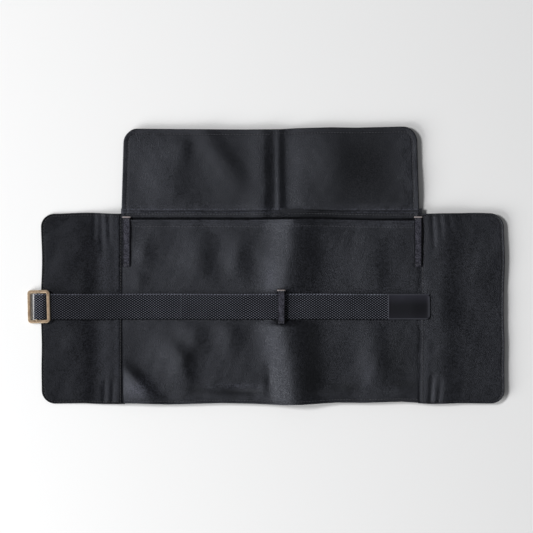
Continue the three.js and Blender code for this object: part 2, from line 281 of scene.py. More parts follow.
def lay_grid(
    name: str,
    faces: Sequence[int],
    surface: Surface,
    flat: Surface | None = None,
    painted_light: Surface | None = None,
) -> Piece:
    """Adds a grid and lays it onto a surface, with a UV map in metres of cloth.

    Args:
        name: The piece's name.
        faces: Number of faces in its two directions.
        surface: Turns two arrays from 0 to 1 into rows of places.
        flat: Turns them into places on the flat cloth; the plan of the surface when left out.
        painted_light: Turns them into how much paler or darker the cloth is painted to stand for light and
            shade, kept as an attribute.

    Returns:
        The laid grid, one layer thick.
    """
    deselect_all()
    columns, rows = faces
    bpy.ops.mesh.primitive_grid_add(
        x_subdivisions=columns, y_subdivisions=rows, size=1.0, location=(0.5, 0.5, 0.0)
    )
    obj = name_active(name)
    bpy.ops.object.transform_apply(location=True, rotation=False, scale=False)
    unit = read_points(obj)
    placed = surface(unit[:, 0], unit[:, 1]) * MM
    cloth = placed[:, :2] if flat is None else flat(unit[:, 0], unit[:, 1])[:, :2] * MM
    corners = np.empty(len(obj.data.loops), dtype=np.int64)
    obj.data.loops.foreach_get("vertex_index", corners)
    layer = obj.data.uv_layers.active or obj.data.uv_layers.new(name="UVMap")
    layer.uv.foreach_set("vector", cloth[corners].ravel())
    # Painted light: how much paler or darker the cloth is painted to stand for light and shade.
    if painted_light is not None:
        painted_light_and_rubbed_border = obj.data.attributes.new("painted_light", "FLOAT", "POINT")
        painted_light_and_rubbed_border.data.foreach_set("value", painted_light(unit[:, 0], unit[:, 1]))
    write_points(obj, placed)
    return obj


def thicken(obj: Piece, thickness: float, offset: float = -1.0) -> None:
    """Turns one layer into cloth of a thickness, below it unless the offset says otherwise."""
    apply_modifier(obj, "SOLIDIFY", thickness=thickness * MM, offset=offset, use_even_offset=False)
    shade(obj)


@dataclass(frozen=True)
class Bend:
    """The bodies and the place of a bend between two bodies that one joint joins.

    Attributes:
        first, second: The bodies before and after the bend.
        middle: Where the bend lies.
        reach: Half its width, counted towards the second body.
        axis: The plan axis it lies on, 0 for X and 1 for Y.
    """

    first: str
    second: str
    middle: float
    reach: float
    axis: int = 0

    def give(self, obj: Piece) -> None:
        """Bakes a finished piece's transform into its mesh.

        Args:
            obj: The piece.
        """
        start, end = [0.0, 0.0, 0.0], [0.0, 0.0, 0.0]
        start[self.axis] = (self.middle - self.reach) * MM
        end[self.axis] = (self.middle + self.reach) * MM
        tuple(start)
        tuple(end)
        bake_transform(obj)


@dataclass(frozen=True)
class Layout:
    """Where the roll's lines lie.

    Attributes:
        spine: The spine's middle line.
        crease, seam, fold, edge: The spine's creases, the side seams, the wings' folds and edges, by side.
        foot, wing_head: Lower and upper edge of the wings.
        flap_fold, flap_head: The flap's fold and its free edge.
        mouth: The slip pocket's mouth.
        strap_low, strap_high: Lower and upper edge of the strap.
        bend: Half the width over which cloth bends at a crease.
        wing_roll: Half the width over which a wing bends at its fold.
    """

    spine: float
    crease: dict[Side, float]
    seam: dict[Side, float]
    fold: dict[Side, float]
    edge: dict[Side, float]
    foot: float
    wing_head: float
    flap_fold: float
    flap_head: float
    mouth: float
    strap_low: float
    strap_high: float
    bend: float = 6.9
    wing_roll: float = 7.5

    @classmethod
    def from_frame(cls, gap: float = 0.3, seam_gap: float = 0.15) -> "Layout":
        """Reads the lines off the CAD nodes' boxes.

        Args:
            gap: From a fold line to the nodes beside it.
            seam_gap: From a side seam to its gusset.

        Returns:
            The layout.
        """

        def low(node: str, axis: int) -> float:
            """Returns a node's least coordinate on one axis."""
            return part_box(node)[0][axis] / MM

        def high(node: str, axis: int) -> float:
            """Returns a node's greatest coordinate on one axis."""
            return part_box(node)[1][axis] / MM

        left, right = HALVES
        spine_low, spine_high = low("spine_back_panel", 0), high("spine_back_panel", 0)
        return cls(
            spine=(spine_low + spine_high) / 2,
            crease={left: spine_low - gap, right: spine_high + gap},
            seam={left: high("left_gusset", 0) + seam_gap, right: low("right_gusset", 0) - seam_gap},
            fold={left: low("left_gusset", 0) - gap, right: high("right_gusset", 0) + gap},
            edge={left: low("left_wing_shell", 0), right: high("right_wing_shell", 0)},
            foot=low("left_back_panel", 1),
            wing_head=high("left_gusset", 1),
            flap_fold=high("left_back_panel", 1) + gap,
            flap_head=high("flap_shell_left", 1),
            mouth=high("left_outer_pocket", 1),
            strap_low=low("strap_left", 1),
            strap_high=high("strap_left", 1),
        )

    def spine_bend(self, side: Side, half: str, middle: str) -> Bend:
        """Returns the bend over one of the spine's creases, between a half's body and the middle one."""
        first, second = (half, middle) if side is Side.LEFT else (middle, half)
        return Bend(first, second, self.crease[side], self.bend)

    def wing_bend(self, side: Side) -> Bend:
        """Returns the bend of a piece that runs from one half onto its wing."""
        return Bend(f"{side.value}_half", f"{side.value}_wing", self.fold[side], side.sign * self.wing_roll)


@dataclass(frozen=True)
class Crease:
    """A soft ridge or groove that cloth has taken along a line.

    Attributes:
        line: Plan points along its crest.
        rise: Height of the ridge; a groove has a negative rise.
        left, right: Half-width on the two sides of the line's direction.
        ends: What is left of the rise at the line's start and end.
    """

    line: tuple[Point, ...]
    rise: float
    left: float
    right: float
    ends: Point = (0.0, 0.0)

    def height(self, x: Array, y: Array) -> Array:
        """Measures the crease.

        Args:
            x, y: Plan points.

        Returns:
            Its height at the points.
        """
        nearest = np.full(x.shape, np.inf)
        lean = np.zeros(x.shape)
        share = np.zeros(x.shape)
        whole = sum(math.dist(a, b) for a, b in zip(self.line, self.line[1:]))
        before = 0.0
        for (ax, ay), (bx, by) in zip(self.line, self.line[1:]):
            dx, dy = bx - ax, by - ay
            length = math.hypot(dx, dy)
            t = np.clip(((x - ax) * dx + (y - ay) * dy) / length**2, 0.0, 1.0)
            away_x = x - ax - t * dx
            away_y = y - ay - t * dy
            distance = np.hypot(away_x, away_y)
            across = (away_x * dy - away_y * dx) / length
            closer = distance < nearest
            lean = np.where(closer, across / np.maximum(distance, 1e-6), lean)
            share = np.where(closer, (before + t * length) / whole, share)
            nearest = np.minimum(nearest, distance)
            before += length
        width = self.left + (self.right - self.left) * (0.5 + 0.5 * lean)
        first = self.ends[0] + (1.0 - self.ends[0]) * smooth(0.0, 0.5, share)
        last = self.ends[1] + (1.0 - self.ends[1]) * (1.0 - smooth(0.5, 1.0, share))
        return self.rise * first * last * bell(nearest, width)


@dataclass(frozen=True)
class Undulation:
    """The slow, uneven swell of cloth that isn't pressed.

    Attributes:
        seed: Picks the pattern.
        shortest, longest: Lengths of its waves.
        swing: Typical height.
        count: Number of waves that are added up.
    """

    seed: int
    shortest: float
    longest: float
    swing: float
    count: int = 14

    def height(self, x: Array, y: Array) -> Array:
        """Measures the swell.

        Args:
            x, y: Plan points.

        Returns:
            Its height at the points.
        """
        dice = np.random.default_rng(self.seed)
        total = np.zeros(x.shape)
        for _ in range(self.count):
            wave = dice.uniform(self.shortest, self.longest)
            angle = dice.uniform(0.0, 2.0 * math.pi)
            phase = dice.uniform(0.0, 2.0 * math.pi)
            along = x * math.cos(angle) + y * math.sin(angle)
            total += wave / self.longest * np.sin(2.0 * math.pi * along / wave + phase)
        return self.swing * total * math.sqrt(2.0 / self.count)

    def height_along(self, along: Array) -> Array:
        """Returns the swell along one line, for an edge that wavers."""
        return self.height(along, np.zeros(along.shape))


@dataclass(frozen=True)
class Hem:
    """A turned and topstitched edge.

    Attributes:
        sides: The panel's sides that have it.
        stitch: From the edge to the stitch line.
        roll: How far the edge rounds down.
        swell: How far the turned cloth stands up beside the stitches.
        sink: How deep the stitches pull the cloth in.
        stitch_shade: How much darker the stitch line is painted, as shade in its groove.
    """

    sides: tuple[Side, ...]
    stitch: float = 3.0
    roll: float = 0.35
    swell: float = 0.4
    sink: float = 0.2
    stitch_shade: float = 0.6

    def height(self, distance: Array) -> Array:
        """Returns the hem's height at distances from the edge."""
        turned = self.swell * fade(self.stitch + 0.5, distance) - self.roll * fade(0.6, distance)
        return turned - self.sink * bell(distance - self.stitch, 0.8)

    def painted_light(self, distance: Array) -> Array:
        """Returns the painted light at distances from the edge: painted shade on the stitch line, below 0."""
        return -self.stitch_shade * bell(distance - self.stitch, 0.55)


@dataclass(frozen=True)
class LightPatch:
    """A patch of painted light on the cloth: a painted highlight, or painted shade below 0.

    Attributes:
        x, y: Its middle.
        reach_x, reach_y: How far it fades out.
        amount: How much paler its middle is painted; below 0, how much darker.
    """

    x: float
    y: float
    reach_x: float
    reach_y: float
    amount: float

    def tone(self, x: Array, y: Array) -> Array:
        """Returns how much paler the cloth is painted at plan points, as a painted highlight or, below 0,
        painted shade.
        """
        return self.amount * bell(x - self.x, self.reach_x) * bell(y - self.y, self.reach_y)


@dataclass
class ClothPanel:
    """A panel of cloth that lies on the drape.

    Attributes:
        name: The piece's name.
        x0, x1, y0, y1: Its cut, before its corners are rounded.
        level: Gives the height of its top face at plan points, without folds.
        thickness, drop: The cloth's thickness, and how far the top face lies under that level.
        pitch: Typical size of its faces.
        folds: The creases and swells it has taken.
        hem: Its sewn edge.
        corners, radius: Its rounded corners, as pairs of sides, and their radius.
        waves: Sideways waver of its edges, by side.
        painted_light: Gives how much paler or darker the cloth is painted at plan points, standing for light
            and shade.
        grading: How much finer the faces are along the edges, from 0 to 1.
        wave_depth: How far in an edge's waver reaches, as a share of the panel's shorter side.
    """

    name: str
    x0: float
    x1: float
    y0: float
    y1: float
    level: Surface
    thickness: float
    drop: float = 0.0
    pitch: float = 1.3
    folds: Sequence[Crease | Undulation] = ()
    hem: Hem | None = None
    corners: tuple[tuple[Side, Side], ...] = ()
    radius: float = 0.0
    waves: dict[Side, Wave] = field(default_factory=dict)
    painted_light: Surface | None = None
    grading: float = 0.5
    wave_depth: float = 0.35

    def cut(self, u: Array, v: Array) -> tuple[Array, Array]:
        """Spreads the grid over the cut.

        Args:
            u, v: Places on the grid, from 0 to 1.

        Returns:
            Places on the cut.
        """
        k = self.grading / (2.0 * math.pi)
        u = u - k * np.sin(2.0 * math.pi * u)
        v = v - k * np.sin(2.0 * math.pi * v)
        return self.x0 + (self.x1 - self.x0) * u, self.y0 + (self.y1 - self.y0) * v

    def gaps(self, p: Array, q: Array) -> dict[Side, Array]:
        """Returns how far places on the cut are from each side."""
        return dict(zip(Side, (p - self.x0, self.x1 - p, q - self.y0, self.y1 - q)))

    def plan(self, p: Array, q: Array) -> tuple[Array, Array]:
        """Rounds the cut's corners and lets its edges waver.

        Args:
            p, q: Places on the cut.

        Returns:
            Plan points.
        """
        x, y = p.copy(), q.copy()
        for across, along in self.corners:
            sx, sy = across.sign, along.sign
            cx = (self.x0 if across is Side.LEFT else self.x1) - sx * self.radius
            cy = (self.y0 if along is Side.FOOT else self.y1) - sy * self.radius
            du, dv = sx * (p - cx), sy * (q - cy)
            inside = (du > 0) & (dv > 0)
            shrink = np.maximum(du, dv) / np.maximum(np.hypot(du, dv), 1e-9)
            x = np.where(inside, cx + sx * du * shrink, x)
            y = np.where(inside, cy + sy * dv * shrink, y)
        reach = self.wave_depth * min(self.x1 - self.x0, self.y1 - self.y0)
        gaps = self.gaps(p, q)
        shift_x, shift_y = np.zeros(p.shape), np.zeros(p.shape)
        for side, wave in self.waves.items():
            weight = fade(reach, gaps[side])
            if side in HALVES:
                shift_x += weight * wave(y)
            else:
                shift_y += weight * wave(x)
        return x + shift_x, y + shift_y

    def edge_distance(self, p: Array, q: Array) -> Array:
        """Returns how far places on the cut are from the nearest hemmed side."""
        gaps = self.gaps(p, q)
        return np.minimum.reduce([gaps[side] for side in self.hem.sides])

    def place(self, p: Array, q: Array) -> Array:
        """Finds the top face.

        Args:
            p, q: Places on the cut.

        Returns:
            Rows of places on the top face.
        """
        x, y = self.plan(p, q)
        z = self.level(x, y) - self.drop
        for fold in self.folds:
            z = z + fold.height(x, y)
        if self.hem is not None:
            z = z + self.hem.height(self.edge_distance(p, q))
        return np.column_stack([x, y, z])

    def surface(self, u: Array, v: Array) -> Array:
        """Returns rows of places on the top face for two arrays from 0 to 1."""
        return self.place(*self.cut(u, v))

    def grid_painted_light(self, u: Array, v: Array) -> Array:
        """Finds the light and shade painted into the cloth's colour.

        Args:
            u, v: Places on the grid, from 0 to 1.

        Returns:
            How much paler it is painted as highlight, or darker below 0 as shade.
        """
        p, q = self.cut(u, v)
        tone = np.zeros(p.shape) if self.painted_light is None else self.painted_light(*self.plan(p, q))
        if self.hem is not None:
            tone = tone + self.hem.painted_light(self.edge_distance(p, q))
        return tone

    def build(self) -> Piece:
        """Lays the panel out and gives it its thickness.

        Returns:
            The panel.
        """
        spans = (self.x1 - self.x0, self.y1 - self.y0)
        faces = tuple(max(4, round(span / self.pitch)) for span in spans)
        obj = lay_grid(self.name, faces, self.surface, painted_light=self.grid_painted_light)
        thicken(obj, self.thickness)
        return obj

    def make(self, material: Material, slot: Slot, bend: Bend, nodes: Sequence[str]) -> Piece:
        """Builds the panel as a finished, dressed layer.

        Args:
            material: Its cloth.
            slot: The record's slot of that cloth.
            bend: The bend it lies across.
            nodes: The CAD nodes it stands for.

        Returns:
            The layer.
        """
        obj = self.build()
        dress(obj, material, slot)
        bend.give(obj)
        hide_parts(*nodes)
        return obj

    def declare(self, obj: Piece, rests_on: Sequence[str], with_pieces: Sequence[Piece] = ()) -> None:
        """Does nothing with the piece."""


@dataclass
class Sewing:
    """Topstitching: one stitch that is modelled once and copied along a line.

    Attributes:
        length: Length of a stitch.
        pitch: From one stitch to the next.
        radius: Half the thread's thickness.
        stand: How far the thread's middle stands over the cloth.
        points, faces: The stitch's mesh, once it is modelled.
    """

    length: float = 2.2
    pitch: float = 2.9
    radius: float = 0.34
    stand: float = 0.12
    points: Array | None = None
    faces: list[list[int]] = field(default_factory=list)

    def model(self) -> None:
        """Models one stitch: a short six-sided rod with rounded ends, pressed a little flat."""
        deselect_all()
        bpy.ops.mesh.primitive_cylinder_add(
            vertices=6, radius=self.radius, depth=self.length, rotation=(0.0, math.pi / 2, 0.0)
        )
        obj = name_active("stitch")
        bpy.ops.object.transform_apply(location=False, rotation=True, scale=False)
        bpy.ops.object.mode_set(mode="EDIT")
        select_where(obj, "EDGE", lambda edge: abs(edge.verts[0].co.x - edge.verts[1].co.x) < 1e-4)
        bpy.ops.mesh.bevel(offset=self.radius * 0.55, segments=1, affect="EDGES")
        bpy.ops.mesh.select_all(action="SELECT")
        bpy.ops.transform.resize(value=(1.0, 1.0, 0.75))
        bpy.ops.object.mode_set(mode="OBJECT")
        self.points = read_points(obj)
        self.faces = [list(polygon.vertices) for polygon in obj.data.polygons]
        bpy.data.objects.remove(obj)

    def row(self, name: str, panel: ClothPanel, lines: Lines) -> Piece:
        """Returns one piece with the stitches along lines on a panel's cut."""
        rows = [self.along(panel.place, line) for line in lines]
        return self.copy(name, np.vstack([r[0] for r in rows]), np.vstack([r[1] for r in rows]))

    def along(self, place: Surface, line: Sequence[Point]) -> tuple[Array, Array]:
        """Spaces the stitches along one line.

        Args:
            place: Gives places on the cloth for places on its cut.
            line: The line's corner points on the cut.

        Returns:
            The stitches' middles and their directions.
        """
        corners = np.array(line, dtype=float)
        fine = []
        for a, b in zip(corners, corners[1:]):
            steps = max(2, int(np.hypot(*(b - a)) / 0.5))
            fine.append(a + (b - a) * np.linspace(0.0, 1.0, steps, endpoint=False)[:, None])
        cut = np.vstack(fine + [corners[-1:]])
        points = place(cut[:, 0], cut[:, 1])
        run = np.concatenate([[0.0], np.cumsum(np.linalg.norm(np.diff(points, axis=0), axis=1))])

        def at(lengths: Array) -> Array:
            """Returns places at lengths along the line."""
            return np.column_stack([np.interp(lengths, run, points[:, i]) for i in range(3)])

        stops = np.arange(0.5 * self.pitch, run[-1] - 0.3 * self.pitch, self.pitch)
        middle = at(stops)
        middle[:, 2] += self.stand
        return middle, at(stops + 0.4 * self.length) - at(stops - 0.4 * self.length)

    def copy(self, name: str, middles: Array, headings: Array) -> Piece:
        """Copies the stitch to given places.

        Args:
            name: The piece's name.
            middles: Rows of places.
            headings: Rows of directions.

        Returns:
            The copies as one piece.
        """
        ahead = headings / np.linalg.norm(headings, axis=1, keepdims=True)
        sideways = np.cross(np.array([0.0, 0.0, 1.0]), ahead)
        sideways /= np.linalg.norm(sideways, axis=1, keepdims=True)
        turn = np.stack([ahead, sideways, np.cross(ahead, sideways)], axis=2)
        placed = np.einsum("nij,kj->nki", turn, self.points) + middles[:, None, :]
        count = len(self.points)
        faces = [[index + i * count for index in face] for i in range(len(middles)) for face in self.faces]
        mesh = bpy.data.meshes.new(name)
        mesh.from_pydata((placed.reshape(-1, 3) * MM).tolist(), [], faces)
        obj = bpy.data.objects.new(name, mesh)
        bpy.context.collection.objects.link(obj)
        shade(obj, 60.0)
        return obj

    def sew(self, name: str, panel: ClothPanel, lines: Lines, thread: Material, bend: Bend) -> Piece:
        """Sews a panel of outer cloth with thread.

        Args:
            name: The piece's name.
            panel: The panel.
            lines: Corner points of each line, on the panel's cut.
            thread: The thread's material.
            bend: The bend the panel lies across.

        Returns:
            The stitches.
        """
        obj = self.row(name, panel, lines)
        dress(obj, thread, Slot.OUTER)
        bend.give(obj)
        return obj


SKY: Colour = (0.84, 0.88, 1.0)


def rgba(colour: Colour) -> tuple[float, float, float, float]:
    """Returns a linear colour with full alpha."""
    return (*colour, 1.0)


class NodeTree:
    """Adds and joins the nodes of one material or node group."""

    def __init__(self, tree: Group) -> None:
        """Takes the tree to work on and empties it."""
        self.tree = tree
        tree.nodes.clear()

    def add(self, kind: str, values: dict | None = None, **settings: object) -> bpy.types.Node:
        """Adds a node.

        Args:
            kind: The node's type without its Shader prefix.
            values: Constants, or sockets to link from, by input.
            settings: The node's own properties.

        Returns:
            The new node.
        """
        node = self.tree.nodes.new(kind if kind.startswith("NodeGroup") else f"ShaderNode{kind}")
        for name, value in settings.items():
            setattr(node, name, value)
        for key, value in (values or {}).items():
            if isinstance(value, Socket):
                self.tree.links.new(value, node.inputs[key])
            else:
                node.inputs[key].default_value = value
        return node

    def effect(self, group: Group, **values: object) -> bpy.types.Node:
        """Adds a shared node group with some of its inputs set or linked."""
        return self.add("Group", values, node_tree=group)

    def math(self, operation: str, first: object, second: object = 0.0, third: object = 0.0) -> Socket:
        """Adds a Math node and returns its output."""
        return self.add("Math", {0: first, 1: second, 2: third}, operation=operation).outputs[0]

    def ramp(self, value: object, low: float, high: float, out_low: float, out_high: float) -> Socket:
        """Adds a smooth Map Range node and returns its output."""
        values = {0: value, 1: low, 2: high, 3: out_low, 4: out_high}
        return self.add("MapRange", values, interpolation_type="SMOOTHSTEP").outputs[0]

    def mix(self, factor: object, first: object, second: object, blend: str = "MIX") -> Socket:
        """Adds a colour Mix node and returns its output."""
        node = self.add("Mix", {0: factor, 6: first, 7: second}, data_type="RGBA", blend_type=blend)
        return node.outputs[2]

    def times(self, colour: object, factor: object) -> Socket:
        """Multiplies a colour by a factor and returns the output."""
        return self.mix(1.0, colour, factor, "MULTIPLY")


class Paint(NodeTree):
    """The nodes of one new material."""

    def __init__(self, name: str) -> None:
        """Makes the material.

        Args:
            name: Its name.
        """
        self.material = bpy.data.materials.new(name)
        self.material.use_nodes = True
        super().__init__(self.material.node_tree)

    def finish(
        self,
        colour: object,
        roughness: object,
        bump: tuple[float, float, Socket] | None = None,
        gloss: float | None = None,
        tint: Colour = SKY,
        metal: float = 0.0,
    ) -> Material:
        """Adds the surface.

        Args:
            colour, roughness, metal: Constants, or sockets to link from.
            bump: Strength, depth in metres and height of its relief.
            gloss, tint: Strength and colour of its shine, where they aren't the usual ones.

        Returns:
            The material.
        """
        values = {"Base Color": colour, "Roughness": roughness, "Metallic": metal}
        if bump is not None:
            relief = self.add("Bump", dict(zip(("Strength", "Distance", "Height"), bump)))
            values["Normal"] = relief.outputs[0]
        if gloss is not None:
            values["Specular IOR Level"] = gloss
            values["Specular Tint"] = rgba(tint)
        shader = self.add("BsdfPrincipled", values)
        self.add("OutputMaterial", {0: shader.outputs[0]})
        return self.material


def new_group(name: str, inputs: dict[str, float | None], outputs: Sequence[str]) -> Group:
    """Makes an empty shader node group with named sockets.

    Args:
        name: The group's name.
        inputs: Start values by name; an input without one takes a vector.
        outputs: Names of the outputs.

    Returns:
        The group.
    """
    group = bpy.data.node_groups.new(name, "ShaderNodeTree")
    for label, value in inputs.items():
        kind = "NodeSocketVector" if value is None else "NodeSocketFloat"
        socket = group.interface.new_socket(label, in_out="INPUT", socket_type=kind)
        if value is not None:
            socket.default_value = value
    for label in outputs:
        group.interface.new_socket(label, in_out="OUTPUT", socket_type="NodeSocketFloat")
    return group


class SharedEffects:
    """The node groups that several finishes use."""

    def __init__(self) -> None:
        """Builds each group once."""
        self.grain = self.build_grain()
        self.drift = self.build_drift()
        self.weave = self.build_weave()

    def build_grain(self) -> Group:
        """Builds the fine, slightly diagonal grain of a twill.

        Returns:
            The group.
        """
        inputs = {"Vector": None, "Fineness": 900.0, "Crispness": 1.1}
        nodes = NodeTree(new_group("twill_grain", inputs, ("Tone", "Height")))
        vector, fineness, crispness = nodes.add("NodeGroupInput").outputs[:3]
        turned = nodes.add("Mapping", {"Vector": vector, "Rotation": (0.0, 0.0, 0.62)})
        counted = nodes.add("VectorMath", {0: turned.outputs[0], "Scale": fineness}, operation="SCALE")
        crossing = nodes.add("VectorMath", {0: counted.outputs[0]}, operation="FLOOR")
        yarn = nodes.add("TexWhiteNoise", {"Vector": crossing.outputs[0]}).outputs[0]
        speck = nodes.add("TexNoise", {"Vector": vector, "Scale": fineness, "Detail": 1.0}).outputs[0]
        crisp = nodes.math("MULTIPLY", nodes.math("SUBTRACT", yarn, 0.5), crispness)
        total = nodes.math("MULTIPLY_ADD", speck, 0.6, crisp)
        nodes.add("NodeGroupOutput", {0: nodes.ramp(total, -0.1, 0.8, 0.0, 1.0), 1: speck})
        return nodes.tree

    def build_drift(self) -> Group:
        """Builds the slow change of tone of dyed and handled cloth.

        Returns:
            The group.
        """
        inputs = {"Vector": None, "Scale": 22.0, "Least": 0.85, "Most": 1.1}
        nodes = NodeTree(new_group("tone_drift", inputs, ("Factor",)))
        vector, scale, least, most = nodes.add("NodeGroupInput").outputs[:4]
        cloud = nodes.add("TexNoise", {"Vector": vector, "Scale": scale, "Detail": 3.0, "Roughness": 0.55})
        spread = nodes.add("MapRange", {0: cloud.outputs[0], 1: 0.3, 2: 0.7, 3: least, 4: most})
        nodes.add("NodeGroupOutput", {0: spread.outputs[0]})
        return nodes.tree

    def build_weave(self) -> Group:
        """Builds a webbing's weave: offset rows of short floats, read along and across it in metres.

        Returns:
            The group.
        """
        inputs = {"Along": 0.0, "Across": 0.0, "Float length": 0.0034, "Row": 0.0024}
        nodes = NodeTree(new_group("webbing_weave", inputs, ("Tone", "Height")))
        along, across, length, row = nodes.add("NodeGroupInput").outputs[:4]
        turn = 2.0 * math.pi
        strain = nodes.add("TexNoise", {"W": along, "Scale": 45.0, "Detail": 1.0}, noise_dimensions="1D")
        drawn = nodes.math("MULTIPLY_ADD", strain.outputs[0], 0.004, along)
        u = nodes.math("MULTIPLY", nodes.math("DIVIDE", drawn, length), turn)
        v = nodes.math("MULTIPLY", nodes.math("DIVIDE", across, row), turn)
        lattice = nodes.math("MULTIPLY", nodes.math("SINE", u), nodes.math("COSINE", v))
        height = nodes.ramp(lattice, -0.9, 0.9, 0.0, 1.0)
        nodes.add("NodeGroupOutput", {0: nodes.ramp(lattice, 0.15, 0.6, 0.0, 1.0), 1: height})
        return nodes.tree


@dataclass(frozen=True)
class ClothFinish:
    """A dyed cotton cloth with a satin face.

    Attributes:
        deep, face: Colour between the threads and of their faces.
        fineness, relief: Grain per metre, and strength of its bump.
        spread: How much the roughness differs between the threads.
        gloss: How much the face shines.
        dulling: How much more matt the cloth is where shade is painted.
        least, most: How far the tone drifts over the cloth.
    """

    name: str
    deep: Colour
    face: Colour
    roughness: float
    fineness: float
    relief: float
    spread: float = 0.13
    gloss: float = 0.36
    dulling: float = 0.0
    least: float = 0.86
    most: float = 1.12

    def make(self, effects: SharedEffects) -> Material:
        """Builds the material on the cloth's UV map.

        Args:
            effects: The shared node groups.

        Returns:
            The material.
        """
        nodes = Paint(self.name)
        cloth = nodes.add("UVMap", uv_map="UVMap").outputs[0]
        grain = nodes.effect(effects.grain, Vector=cloth, Fineness=self.fineness).outputs
        drift = nodes.effect(effects.drift, Vector=cloth, Least=self.least, Most=self.most).outputs[0]
        tone = nodes.mix(grain["Tone"], rgba(self.deep), rgba(self.face))
        # Painted light and shade from the cloth's attribute scale its colour.
        painted_light = nodes.add("Attribute", attribute_name="painted_light").outputs["Fac"]
        colour = nodes.times(tone, nodes.math("MULTIPLY_ADD", painted_light, drift, drift))
        low, high = self.roughness - self.spread, self.roughness + self.spread
        rough = nodes.ramp(grain["Tone"], 0.0, 1.0, low, high)
        dull = nodes.math("MULTIPLY", nodes.math("MINIMUM", painted_light, 0.0), -self.dulling)
        bump = (self.relief, 0.0004, grain["Height"])
        return nodes.finish(colour, nodes.math("ADD", rough, dull), bump, self.gloss)


@dataclass(frozen=True)
class WebbingFinish:
    """A woven band: floats over a darker ground, with a paler upper selvedge, painted shadow under its lower
    edge and painted light near the buckle.

    Attributes:
        ground, float_tone: Colour between the floats and of the floats.
        half: Half the band's width.
        stitch: Length of the selvedge's pale dashes.
        dim: Lengths from the band's start between which painted shade darkens it towards the buckle.
        inside, turned: Lengths between which painted shade begins on the turn round the bar, and gives way to
            a painted highlight.
    """

    name: str
    ground: Colour
    float_tone: Colour
    roughness: float
    half: float
    stitch: float = 3.0
    dim: Point = (35.0, 70.0)
    inside: Point = (131.5, 132.5)
    turned: Point = (133.5, 141.5)

    def make(self, effects: SharedEffects) -> Material:
        """Builds the material on the band's UV map.

        Args:
            effects: The shared node groups.

        Returns:
            The material.
        """
        nodes = Paint(self.name)
        band = nodes.add("UVMap", uv_map="UVMap").outputs[0]
        along, across = nodes.add("SeparateXYZ", {0: band}).outputs[:2]
        weave = nodes.effect(effects.weave, Along=along, Across=across).outputs
        drift = nodes.effect(effects.drift, Vector=band, Scale=60.0).outputs[0]
        tone = nodes.mix(weave["Tone"], rgba(self.ground), rgba(self.float_tone))
        dash = nodes.math("SINE", nodes.math("MULTIPLY", along, 2.0 * math.pi / (self.stitch * MM)))
        rim = nodes.ramp(across, (self.half - 1.3) * MM, (self.half - 0.8) * MM, 0.0, 0.9)
        edge = nodes.math("MULTIPLY", rim, nodes.ramp(dash, -0.6, 0.8, 0.25, 1.0))
        pale = tuple(1.2 * channel for channel in self.float_tone)
        # Painted shadow along the band's lower edge.
        under = nodes.ramp(across, -self.half * MM, (1.1 - self.half) * MM, 0.1, 1.0)
        edged = nodes.times(nodes.mix(edge, tone, rgba(pale)), under)
        # Painted shade towards the buckle, then painted shade and a painted highlight on the turn round the
        # bar.
        tail = nodes.ramp(along, self.dim[0] * MM, self.dim[1] * MM, 1.0, 0.6)
        inside = nodes.ramp(along, self.inside[0] * MM, self.inside[1] * MM, 0.0, 1.0)
        turned = nodes.ramp(along, self.turned[0] * MM, self.turned[1] * MM, -0.45, 0.9)
        shaded = nodes.times(edged, nodes.math("MULTIPLY_ADD", inside, turned, tail))
        bump = (1.0, 0.0005, weave["Height"])
        return nodes.finish(nodes.times(shaded, drift), self.roughness, bump, 0.1)


@dataclass(frozen=True)
class TapeFinish:
    """A narrow folded tape with a pale fold across its head, and painted shade along its long edges.

    Attributes:
        deep, face: Colour between the threads and of their faces.
        fold, fold_width: Colour and width of the fold.
        half: Half the tape's width.
    """

    name: str
    deep: Colour
    face: Colour
    fold: Colour
    roughness: float
    fold_width: float = 1.3
    half: float = 4.0

    def make(self, effects: SharedEffects) -> Material:
        """Builds the material; the UV map counts from the tape's head downwards.

        Args:
            effects: The shared node groups.

        Returns:
            The material.
        """
        nodes = Paint(self.name)
        tape = nodes.add("UVMap", uv_map="UVMap").outputs[0]
        across, down = nodes.add("SeparateXYZ", {0: tape}).outputs[:2]
        grain = nodes.effect(effects.grain, Vector=tape, Fineness=1100.0).outputs
        tone = nodes.mix(grain["Tone"], rgba(self.deep), rgba(self.face))
        off = nodes.math("ABSOLUTE", nodes.math("SUBTRACT", across, self.half * MM))
        # Painted shade along the tape's long edges, where it meets the cloth.
        side = nodes.ramp(off, (self.half - 1.7) * MM, (self.half - 0.6) * MM, 1.0, 0.15)
        rough = nodes.ramp(side, 0.15, 1.0, 1.0, self.roughness)
        fold = nodes.ramp(down, (self.fold_width - 0.5) * MM, (self.fold_width + 0.2) * MM, 1.0, 0.0)
        colour = nodes.mix(fold, nodes.times(tone, side), rgba(self.fold))
        return nodes.finish(colour, rough, (0.5, 0.0003, grain["Height"]), 0.15)


@dataclass(frozen=True)
class ThreadFinish:
    """Sewing thread in the cloth's own tone."""

    name: str
    colour: Colour
    roughness: float

    def make(self, effects: SharedEffects) -> Material:
        """Builds the material; its tone drifts from stitch to stitch.

        Args:
            effects: The shared node groups.

        Returns:
            The material.
        """
        nodes = Paint(self.name)
        place = nodes.add("TexCoord").outputs["Object"]
        drift = nodes.effect(effects.drift, Vector=place, Scale=260.0, Least=0.55, Most=1.5).outputs[0]
        return nodes.finish(nodes.times(rgba(self.colour), drift), self.roughness)


